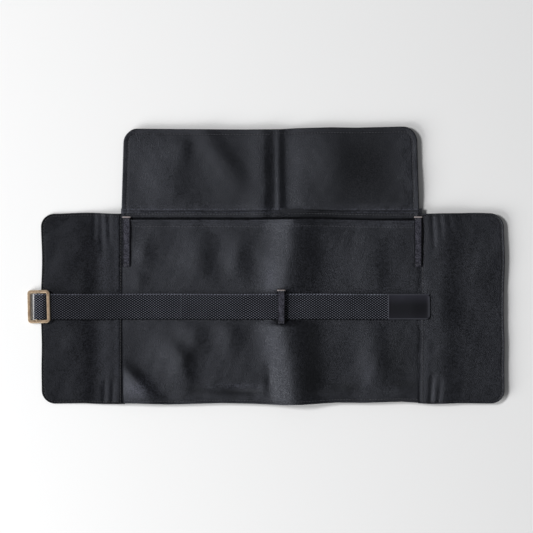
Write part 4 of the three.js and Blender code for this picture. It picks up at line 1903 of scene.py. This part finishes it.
@dataclass
class TopFlap(ClothWork):
    """The flap that folds over the brush tips, in three parts that meet at the spine's creases.

    Attributes:
        tuck: How far the shell runs past the pocket's mouth.
        taper: How much each free side narrows towards the head.
        bend: Half the width over which the flap bends.
        seam_line, seam_hump: How far the painted dark seam line, shade in the seam, lies under the fold, and
            rises beside the spine.
        seam_highlights: The painted highlights along that line, each with its strength, place and reach.
    """

    seam_top: float = 7.5
    head_top: float = 5.9
    shell_cloth: float = 0.6
    lining_cloth: float = 0.5
    lining_inset: float = 1.5
    lining_gap: float = 0.1
    corner: float = 14.5
    stitch: float = 5.2
    band_stitch: float = 6.2
    tuck: float = 0.35
    taper: float = 2.3
    bend: float = 7.5
    fold_reach: float = 7.0
    edge_roll: float = 0.9
    seam_line: float = 2.95
    seam_hump: float = 0.8
    seam_highlights: tuple[tuple[float, float, float], ...] = ((4.0, -1.25, 0.6), (3.4, 1.5, 0.7), (0.7, 4.0, 3.0))
    # Painted light: painted shade across the flap's middle, painted highlights near its free sides.
    rubs: tuple[LightPatch, ...] = (
        LightPatch(97, 96, 42, 60, -0.9),
        LightPatch(-34, 100, 30, 60, -0.3),
        LightPatch(-112, 96, 20, 34, 0.25),
        LightPatch(142, 96, 10, 44, 0.5),
    )

    def height(self, x: Array, y: Array) -> Array:
        """Measures the shell without folds: flat at the seam, then down to the table.

        Args:
            x, y: Plan points.

        Returns:
            Its height at the points.
        """
        out = y - self.layout.flap_fold
        past = (out + np.hypot(out, self.fold_reach)) / 2.0
        fall = (self.seam_top - self.head_top) / (self.layout.flap_head - self.layout.flap_fold)
        edge = self.layout.mouth - self.tuck + mouth_wave(x)
        return self.seam_top - fall * past - self.edge_roll * fade(1.3, y - edge)

    def painted_light(self, x: Array, y: Array) -> Array:
        """Measures the painted light: painted highlights beside a painted dark seam line, and painted shade
        under the ridge.

        Args:
            x, y: Plan points.

        Returns:
            How much paler it is painted, or darker below 0.
        """
        above = y - (self.layout.flap_fold - self.seam_line + self.seam_hump * bell(x - 36.0, 30.0))
        pale = sum(amount * bell(above - offset, reach) for amount, offset, reach in self.seam_highlights)
        # Painted shade beside the pocket's main ridge, which leans over the seam there.
        shaded = bell(x - 52.0, 24.0)
        hollow_shade = 0.6 * shaded * (1.0 - smooth(-0.5, 2.0, above))
        return pale * (1.0 - shaded) - hollow_shade - 0.9 * bell(above, 0.6) + self.toned(x, y)

    def parts(self, gap: float = 0.05, lap: float = 0.9, clear: float = 1.0) -> list[FlapPart]:
        """Divides the flap at the spine's creases.

        Args:
            gap: From a crease to the shells beside it.
            lap: How far the middle lining runs past the creases.
            clear: From a crease to the outer linings.

        Returns:
            Its three parts.
        """
        left, right = self.layout.crease.values()
        start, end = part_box("flap_shell_left")[0][0] / MM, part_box("flap_shell_right")[1][0] / MM
        inset = self.lining_inset
        return [
            FlapPart("left", "left_half", (start, left - gap), (start + inset, left - clear), Side.LEFT),
            FlapPart("mid", "spine", (left + gap, right - gap), (left - lap, right + lap), None),
            FlapPart("right", "right_half", (right + gap, end), (right + clear, end - inset), Side.RIGHT),
        ]

    def lean(self, side: Side) -> Wave:
        """Gives the lean of one free side: the flap narrows towards its head.

        Args:
            side: The side.

        Returns:
            The side's move at heights of the flap.
        """
        fold, head = self.layout.flap_fold, self.layout.flap_head

        def move(y: Array) -> Array:
            """Returns the move of the side."""
            return -side.sign * self.taper * np.clip((y - fold) / (head - fold), 0, 1)

        return move

    def panel(self, part: FlapPart, lining: bool) -> ClothPanel:
        """Cuts the shell or the lining of one part.

        Args:
            part: The part.
            lining: True for the lining.

        Returns:
            The panel.
        """
        inset = self.lining_inset if lining else 0.0
        free = () if part.free is None else (part.free,)
        leans = {side: self.lean(side) for side in free}
        return ClothPanel(
            f"flap_{part.name}_{'lining' if lining else 'shell'}",
            *(part.lining if lining else part.shell),
            self.layout.flap_fold - 3.0 if lining else self.layout.mouth - self.tuck,
            self.layout.flap_head - inset,
            self.height,
            self.lining_cloth if lining else self.shell_cloth,
            self.shell_cloth + self.lining_gap if lining else 0.0,
            pitch=2.2 if lining else 1.15,
            folds=self.drape.flap(),
            hem=None if lining else Hem((Side.HEAD, *free), stitch=self.stitch),
            corners=tuple((side, Side.HEAD) for side in free),
            radius=self.corner - inset,
            waves={Side.HEAD: head_wave, Side.FOOT: mouth_wave, **leans},
            painted_light=None if lining else self.painted_light,
        )

    def lines(self, part: FlapPart, panel: ClothPanel) -> Lines:
        """Places one part's stitch lines.

        Args:
            part: The part.
            panel: Its shell.

        Returns:
            The lines on the shell's cut.
        """
        high, low = panel.y1 - self.stitch, self.layout.flap_fold - 1.5
        band = self.layout.flap_fold - self.band_stitch
        left = panel.x0 + (self.stitch if part.free is Side.LEFT else 0.6)
        right = panel.x1 - (self.stitch if part.free is Side.RIGHT else 0.6)
        edge: tuple[Point, ...] = ((left, high), (right, high))
        if part.free is Side.LEFT:
            edge = ((left, low), *edge)
        if part.free is Side.RIGHT:
            edge = (*edge, (right, low))
        return [edge, ((panel.x0 + 1.0, band), (panel.x1 - 1.0, band))]

    def build(self) -> None:
        """Builds the three parts: lining, shell and stitches."""
        for part in self.parts():
            name = part.name
            bend = Bend(part.body, f"flap_{name}", self.layout.flap_fold, self.bend, axis=1)
            under, over = self.panel(part, True), self.panel(part, False)
            lining = under.make(self.finishes.lining, Slot.LINING, bend, [f"flap_lining_{name}"])
            under.declare(lining, ["table"])
            shell = over.make(self.finishes.flap_cloth, Slot.OUTER, bend, [f"flap_shell_{name}"])
            lines = self.lines(part, over)
            thread = self.sewing.sew(f"flap_{name}_stitches", over, lines, self.finishes.thread, bend)
            over.declare(shell, [lining.name], [thread])
            log.info("piece %s, %s and %s", lining.name, shell.name, thread.name)


@dataclass
class Path:
    """A band's middle line in its own upright plane.

    Attributes:
        points: Places along it: along the plane, and height.
    """

    points: Array

    def __post_init__(self) -> None:
        """Measures the line."""
        steps = np.linalg.norm(np.diff(self.points, axis=0), axis=1)
        self.run = np.concatenate([[0.0], np.cumsum(steps)])

    @property
    def length(self) -> float:
        """The line's whole length."""
        return float(self.run[-1])

    def at(self, share: Array) -> tuple[Array, Array]:
        """Returns the places at shares of the length."""
        run = share * self.length
        return np.interp(run, self.run, self.points[:, 0]), np.interp(run, self.run, self.points[:, 1])


def arc(centre: Point, radius: float, start: float, end: float, steps: int) -> list[Point]:
    """Returns points on an arc between two angles in degrees."""
    angles = np.radians(np.linspace(start, end, steps))
    return [(centre[0] + radius * math.cos(a), centre[1] + radius * math.sin(a)) for a in angles]


@dataclass(frozen=True)
class Arch:
    """One arch of folded tape.

    Attributes:
        name, node, body: The piece's name, the CAD node it stands for and the body it moves with.
        foot, run: Length of each sewn end, and length over which it rises.
        rise, level: How far it stands over its ends, and its least height.
    """

    name: str
    node: str
    body: str
    foot: float = 4.5
    run: float = 6.0
    rise: float = 0.6
    level: float = 0.0


@dataclass
class TapeArches:
    """The side loops and the strap keeper: folded tape that stands over the cloth.

    Attributes:
        ground: Gives the height of the cloth under a plan point.
        turned, narrowing: How far the tape's lower end turns down, and its loss of width there.
        crown: How far its long edges lie under its middle.
    """

    finishes: Finishes
    sewing: Sewing
    ground: Callable[[float, float], float]
    cloth: float = 0.9
    turned: float = 0.6
    narrowing: float = 0.06
    crown: float = 0.35
    bevel: float = 0.22
    arches: tuple[Arch, ...] = (
        Arch("side_loop_left", "left_side_loop", "left_half"),
        Arch("side_loop_right", "right_side_loop", "right_half"),
        Arch("keeper_loop", "strap_keeper", "spine", 3.0, 0.7, 0.7, 12.3),
    )

    def build_arch(self, arch: Arch) -> None:
        """Builds one arch in the place of its CAD node, with the tacks that hold it.

        Args:
            arch: The arch.
        """
        low, high = node_corners(arch.node)
        half, middle, width = self.cloth / 2, (low.x + high.x) / 2, high.x - low.x
        head_base = max(low.z, self.ground(middle, high.y)) + half
        foot_base = max(low.z, self.ground(middle, low.y)) + half + self.turned
        top = max(arch.level, head_base + arch.rise, foot_base + arch.rise)
        ease = np.linspace(0.0, 1.0, 9)
        eased = smooth(0.0, 1.0, ease)
        start = np.column_stack([high.y - arch.foot - arch.run * ease, head_base + (top - head_base) * eased])
        end = np.column_stack([low.y + arch.foot + arch.run * (1.0 - ease), top + (foot_base - top) * eased])
        rolled = [[low.y + 1.0, foot_base], [low.y + 0.4, foot_base - 0.25], [low.y, foot_base - self.turned]]
        path = Path(np.vstack([[[high.y, head_base]], start, end, rolled]))

        def surface(u: Array, v: Array) -> Array:
            """Finds the tape's middle layer.

            Args:
                u, v: Shares of the way across it, and down it from its head.

            Returns:
                Rows of places.
            """
            y, z = path.at(v)
            across = (u - 0.5) * width * (1.0 - self.narrowing * v)
            return np.column_stack([middle + across, y, z - self.crown * (2.0 * u - 1.0) ** 4])

        def flat(u: Array, v: Array) -> Array:
            """Returns places on the flat tape."""
            return np.column_stack([u * width, v * path.length])

        obj = lay_grid(arch.name, (10, max(30, round(path.length / 0.8))), surface, flat)
        thicken(obj, self.cloth, 0.0)
        bevel_edges(obj, self.bevel * MM, 2, 60.0)
        bpy.ops.object.mode_set(mode="EDIT")
        face_outwards()
        shade(obj)
        dress(obj, self.finishes.tape, Slot.TAPE)
        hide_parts(arch.node)
        rows = [(high.y - 0.6 * arch.foot, head_base), (low.y + 0.5 * arch.foot, foot_base)]
        across = np.linspace(low.x + 1.5, high.x - 1.5, 4)
        middles = np.array([(x, y, z + half + 0.1) for y, z in rows for x in across])
        slant = np.tile([0.35, 1.0, 0.0], (len(middles), 1))
        thread = self.sewing.copy(f"{arch.name}_tacks", middles, slant)
        dress(thread, self.finishes.thread, Slot.TAPE)
        for piece in (obj, thread):
            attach(piece, arch.body)
        log.info("piece %s and %s", obj.name, thread.name)

    def build(self) -> None:
        """Builds the two side loops and the keeper."""
        for arch in self.arches:
            self.build_arch(arch)


BUCKLE_BAR: Point = (-229.4, 4.68)
TIP_SLOPE, TIP_START = 0.055, 147.0


def tip_sag(x: Array) -> Array:
    """Returns how far the strap's tip end sinks where it leaves the pocket."""
    return TIP_SLOPE * np.maximum(x - TIP_START, 0.0)


@dataclass
class WebbingStrap:
    """The closing strap: one length of webbing, built in four runs.

    Attributes:
        tail_split, tip_split: Where the tail's run and the tip's run start.
        lift, droop: How far it lies over the CAD's, and the tail's slope past the left seam.
        turn, approach, back: Radius of the turn round the bar, and lengths before and after it.
        beside: The point of the tail's line that the turned end lies under.
        bend, tip_bend: Half the width over which the tail and the tip bend.
        left_weave, right_weave: Where the weave starts on the two middle runs.
        edge_drop, waver: How far its edges round down, and how far it strays from its line.
    """

    layout: Layout
    effects: SharedEffects
    cloth: float = 1.1
    tail_split: float = -85.0
    tip_split: float = 60.0
    lift: float = 1.5
    droop: float = 0.0512
    turn: float = 2.2
    approach: float = 8.0
    back: float = 30.0
    beside: int = 50
    bend: float = 6.0
    tip_bend: float = 3.4
    left_weave: float = -266.9
    right_weave: float = -400.0
    edge_drop: float = 0.12
    waver: float = 0.18
    waver_length: float = 23.0

    def __post_init__(self) -> None:
        """Reads the band's place off the CAD nodes."""
        low, high = node_corners("strap_left")
        self.half = (high.y - low.y) / 2
        self.middle = (high.y + low.y) / 2
        self.height = (high.z + low.z) / 2 + self.lift
        self.tip_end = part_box("strap_tip_webbing")[1][0] / MM
        self.tip_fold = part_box("strap_right")[1][0] / MM + 0.3
        ground, floats = (0.0004, 0.0004, 0.0006), (0.108, 0.113, 0.139)
        self.material = WebbingFinish("charcoal_webbing", ground, floats, 0.6, self.half).make(self.effects)

    def run(self, name: str, path: Path, start: float, bend: Bend, nodes: Sequence[str]) -> None:
        """Builds one run of the band.

        Args:
            name: The piece's name.
            path: Its middle line.
            start: Where the weave starts.
            bend: The bend it lies across.
            nodes: The CAD nodes it stands for.
        """

        def surface(u: Array, v: Array) -> Array:
            """Finds the band's middle layer.

            Args:
                u, v: Shares of the way along it, and across it.

            Returns:
                Rows of places.
            """
            x, z = path.at(u)
            z = z - self.edge_drop * smooth(0.95, 1.0, np.abs(2.0 * v - 1.0))
            waver = self.waver * np.sin(x / self.waver_length)
            return np.column_stack([x, self.middle + (v - 0.5) * 2.0 * self.half + waver, z])

        def flat(u: Array, v: Array) -> Array:
            """Returns places on the flat band."""
            return np.column_stack([start + u * path.length, (v - 0.5) * 2.0 * self.half])

        obj = lay_grid(name, (max(24, round(path.length / 0.9)), 26), surface, flat)
        thicken(obj, self.cloth, 0.0)
        dress(obj, self.material, Slot.WEBBING)
        bend.give(obj)
        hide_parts(*nodes)
        log.info("piece %s", obj.name)

    def tail_path(self) -> Path:
        """Draws the tail: along the roll, down to the bar, round it and back underneath.

        Returns:
            Its middle line.
        """
        seam = self.layout.seam[Side.LEFT]
        bar_x, bar_z = BUCKLE_BAR
        way = np.linspace(self.tail_split - 4.0, bar_x + self.approach, 60)
        out = seam - way
        fallen = self.height - self.droop * (out + np.hypot(out, 6.0)) / 2.0
        points = [(self.tail_split, self.height), *zip(way.tolist(), fallen.tolist())]
        low, top, under = points[-1][1], bar_z + self.turn, bar_z - self.turn
        beneath = points[self.beside][1] - self.cloth - 0.45
        for t in np.linspace(0.15, 0.9, 6):
            points.append((bar_x + self.approach * (1.0 - t), low + (top - low) * smooth(0.0, 1.0, t)))
        points += arc(BUCKLE_BAR, self.turn, 90.0, 270.0, 15)
        for t in np.linspace(0.1, 1.0, 18):
            x = bar_x + self.back * t
            main = self.height - self.droop * (seam - x)
            end = min(main - self.cloth - 0.4, beneath + 2.0)
            points.append((x, under + (end - under) * smooth(0.0, 0.45, t)))
        return Path(np.array(points))

    def build(self) -> None:
        """Builds the four runs from the buckle to the tip."""
        layout, spine, level = self.layout, self.layout.spine, self.height
        left = Path(np.array([(self.tail_split, level), (spine, level)]))
        right = Path(np.array([(spine, level), (self.tip_split, level)]))
        way = np.linspace(self.tip_split, self.tip_end, 60)
        tip = Path(np.column_stack([way, level - tip_sag(way)]))
        bend = Bend("strap_left", "strap_tail", layout.seam[Side.LEFT], -self.bend)
        self.run("strap_tail_run", self.tail_path(), 0.0, bend, ["strap_tail"])
        bend = layout.spine_bend(Side.LEFT, "strap_left", "strap_mid")
        self.run("strap_left_run", left, self.left_weave, bend, ["strap_left", "strap_mid"])
        bend = layout.spine_bend(Side.RIGHT, "strap_right", "strap_mid")
        self.run("strap_right_run", right, self.right_weave, bend, ["strap_right"])
        bend = Bend("strap_right", "strap_tip", self.tip_fold, self.tip_bend)
        start = self.tip_split - spine + self.right_weave
        self.run("strap_tip_run", tip, start, bend, ["strap_tip_webbing"])


@dataclass
class TipPatch:
    """The leather patch on the strap's tip, with a raised border round a bare field.

    Attributes:
        lift: How far the patch lies over the CAD's.
        border, slope, recess: Width of the border, width and depth of the step down from it.
        cuts: Number of cuts across it, so that it follows the strap.
    """

    effects: SharedEffects
    lift: float = 1.3
    cloth: float = 0.55
    border: float = 1.2
    slope: float = 0.5
    recess: float = 0.2
    corner: float = 4.0
    bevel: float = 0.25
    cuts: int = 12

    def build(self) -> None:
        """Models the patch from a plane and dresses it."""
        low, high = node_corners("strap_tip_patch")
        middle = ((low.x + high.x) / 2, (low.y + high.y) / 2)
        length, width = high.x - low.x, high.y - low.y
        obj = open_plane("tip_patch", length, width, (*middle, low.z + self.lift))
        select_where(obj, "VERT", lambda vertex: vertex.co.x > middle[0])
        bpy.ops.mesh.bevel(offset=self.corner, segments=5, affect="VERTICES")
        bpy.ops.mesh.select_mode(type="FACE")
        raise_faces(self.cloth)
        bpy.ops.mesh.inset(thickness=self.border)
        bpy.ops.mesh.inset(thickness=self.slope, depth=-self.recess)
        face_outwards()
        bevel_edges(obj, self.bevel, 3, 30.0)
        bpy.ops.object.mode_set(mode="EDIT")
        for x in np.linspace(low.x + 4.0, high.x - 4.0, self.cuts):
            bpy.ops.mesh.select_all(action="SELECT")
            bpy.ops.mesh.bisect(plane_co=(float(x), 0.0, 0.0), plane_no=(1.0, 0.0, 0.0))
        bpy.ops.object.mode_set(mode="OBJECT")
        points = read_points(obj)
        points[:, 2] -= tip_sag(points[:, 0])
        write_points(obj, points * MM)
        shade(obj, 50.0)
        half = (length / 2, width / 2)
        tone, pale = (0.006, 0.0059, 0.0082), (0.034, 0.035, 0.043)
        leather = LeatherFinish("charcoal_leather", tone, pale, 0.5, middle, half, self.border)
        dress(obj, leather.make(self.effects), Slot.TIP)
        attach(obj, "strap_tip")
        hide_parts("strap_tip_patch")
        log.info("piece %s", obj.name)


@dataclass
class SlideBuckle:
    """The metal frame and bar that the strap's turned-back end holds.

    Attributes:
        inner, outer: From the bar to the frame's end on the strap's side, and to its free end.
        rim, bar_rim: Rounding of the edges of the frame and of the bar.
        tilt, skew: How far the buckle leans and swings, in degrees.
    """

    finishes: Finishes
    inner: float = 14.2
    outer: float = 9.6
    wire: float = 3.4
    thick: float = 2.2
    round_corner: float = 3.6
    cut_corner: float = 3.2
    rim: float = 0.95
    bar_radius: float = 1.3
    bar_rim: float = 0.3
    tilt: float = 18.3
    skew: float = 1.2

    def frame_ring(self, height: float) -> Piece:
        """Models the frame from a plane: corners cut, centre opened, thickness and bevels given.

        Args:
            height: The frame's height.

        Returns:
            The frame.
        """
        place = ((self.inner - self.outer) / 2, 0.0, -self.thick / 2)
        obj = open_plane("buckle", self.inner + self.outer, height, place)
        ends = ((self.inner, self.cut_corner, 2, 0.4), (-self.outer, self.round_corner, 5, 0.5))
        for end, offset, segments, profile in ends:
            corner = Vector((end, height / 2))
            select_where(obj, "VERT", lambda v: (Vector((v.co.x, abs(v.co.y))) - corner).length < 1e-3)
            bpy.ops.mesh.bevel(offset=offset, segments=segments, profile=profile, affect="VERTICES")
        bpy.ops.mesh.select_mode(type="FACE")
        bpy.ops.mesh.select_all(action="SELECT")
        bpy.ops.mesh.inset(thickness=self.wire)
        bpy.ops.mesh.delete(type="FACE")
        raise_faces(self.thick)
        face_outwards()
        bevel_edges(obj, self.rim, 4, 50.0)
        return obj

    def cross_bar(self, height: float) -> Piece:
        """Models the bar: a rod with rounded ends that sit in the frame.

        Args:
            height: The frame's height.

        Returns:
            The bar.
        """
        deselect_all()
        bpy.ops.mesh.primitive_cylinder_add(
            vertices=24, radius=self.bar_radius, depth=height - self.wire, rotation=(math.pi / 2, 0.0, 0.0)
        )
        obj = bpy.context.active_object
        bpy.ops.object.transform_apply(location=False, rotation=True, scale=False)
        bevel_edges(obj, self.bar_rim, 2, 50.0)
        return obj

    def build(self) -> None:
        """Joins frame and bar, tips them onto the strap and dresses them."""
        low, high = node_corners("slide_buckle")
        height = high.y - low.y
        obj = self.frame_ring(height)
        rod = self.cross_bar(height)
        pick(obj)
        rod.select_set(True)
        bpy.ops.object.join()
        tip = Matrix.Rotation(-math.radians(self.tilt), 4, "Y")
        swing = Matrix.Rotation(math.radians(self.skew), 4, "Z")
        place = Matrix.Translation(Vector((BUCKLE_BAR[0], (low.y + high.y) / 2, BUCKLE_BAR[1])))
        obj.data.transform(Matrix.Scale(MM, 4) @ place @ swing @ tip)
        shade(obj, 35.0)
        dress(obj, self.finishes.brass, Slot.BUCKLE)
        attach(obj, "buckle")
        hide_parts("slide_buckle")
        log.info("piece %s", obj.name)


@dataclass
class Studio:
    """The table, the light and the camera.

    Attributes:
        width, plane: Width of the picture, and the height at which it is measured.
        lens, sensor: The camera's focal length, and width of its sensor.
        aim: The plan point under the camera.
        table, room: Side of the table top in metres, and strength of the room's light.
    """

    width: float = 533.0
    lens: float = 600.0
    sensor: float = 36.0
    aim: Point = (0.43, -0.67)
    plane: float = 6.0
    table: float = 6.0
    room: float = 0.165

    def build_table(self) -> None:
        """Builds the table top: a wide, even sheet."""
        deselect_all()
        bpy.ops.mesh.primitive_plane_add(size=self.table, location=(0.0, 0.0, 0.0))
        obj = name_active("table")
        bpy.ops.object.mode_set(mode="EDIT")
        bpy.ops.mesh.select_all(action="SELECT")
        bpy.ops.mesh.subdivide(number_cuts=4)
        bpy.ops.object.mode_set(mode="OBJECT")
        obj.data.materials.append(FloorFinish("pale_table", (0.86, 0.86, 0.86)).make())

    def window(self, name: str, place: tuple[float, float, float], side: float, watts: float) -> None:
        """Adds a square lamp that faces the roll.

        Args:
            name: Its name.
            place: Where it is, in metres.
            side: Its side, in metres.
            watts: Its power.
        """
        lamp = bpy.data.lights.new(name, "AREA")
        lamp.shape = "RECTANGLE"
        lamp.size = side
        lamp.size_y = side
        lamp.energy = watts
        obj = bpy.data.objects.new(name, lamp)
        bpy.context.collection.objects.link(obj)
        obj.location = place
        obj.rotation_euler = (-obj.location).to_track_quat("-Z", "Y").to_euler()

    def build_light(self) -> None:
        """Adds two soft windows on the left and an even fill."""
        self.window("window", (-2.37, 0.62, 3.15), 0.8, 92.0)
        self.window("low_window", (-2.02, -1.1, 1.14), 1.5, 62.0)
        world = bpy.data.worlds.new("room")
        world.use_nodes = True
        background = world.node_tree.nodes["Background"]
        background.inputs[0].default_value = (0.97, 0.985, 1.0, 1.0)
        background.inputs[1].default_value = self.room
        bpy.context.scene.world = world

    def build_camera(self) -> None:
        """Adds the camera straight above the roll."""
        camera = bpy.data.cameras.new("above")
        camera.lens = self.lens
        camera.sensor_width = self.sensor
        obj = bpy.data.objects.new("above", camera)
        bpy.context.collection.objects.link(obj)
        height = self.width * self.lens / self.sensor + self.plane
        obj.location = (self.aim[0] * MM, self.aim[1] * MM, height * MM)
        bpy.context.scene.camera = obj

    def build(self) -> None:
        """Builds table, light and camera."""
        self.build_table()
        self.build_light()
        self.build_camera()
        bpy.context.scene.view_settings.view_transform = "Standard"


def write_sizes() -> None:
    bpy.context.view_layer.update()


def main() -> None:
    """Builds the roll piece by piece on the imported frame."""
    logging.basicConfig(level=logging.INFO, format="%(message)s")
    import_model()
    deselect_all()
    layout = Layout.from_frame()
    drape = Drape(layout)
    finishes = Finishes()
    sewing = Sewing()
    sewing.model()
    SlotPanels(layout, drape, finishes, sewing).build()
    centre = CentrePanels(layout, drape, finishes, sewing)
    centre.build()
    SideWings(layout, drape, finishes, sewing).build()
    TopFlap(layout, drape, finishes, sewing).build()
    TapeArches(finishes, sewing, centre.ground).build()
    WebbingStrap(layout, finishes.effects).build()
    TipPatch(finishes.effects).build()
    SlideBuckle(finishes).build()
    Studio().build()
    write_sizes()


if __name__ == "__main__":
    main()
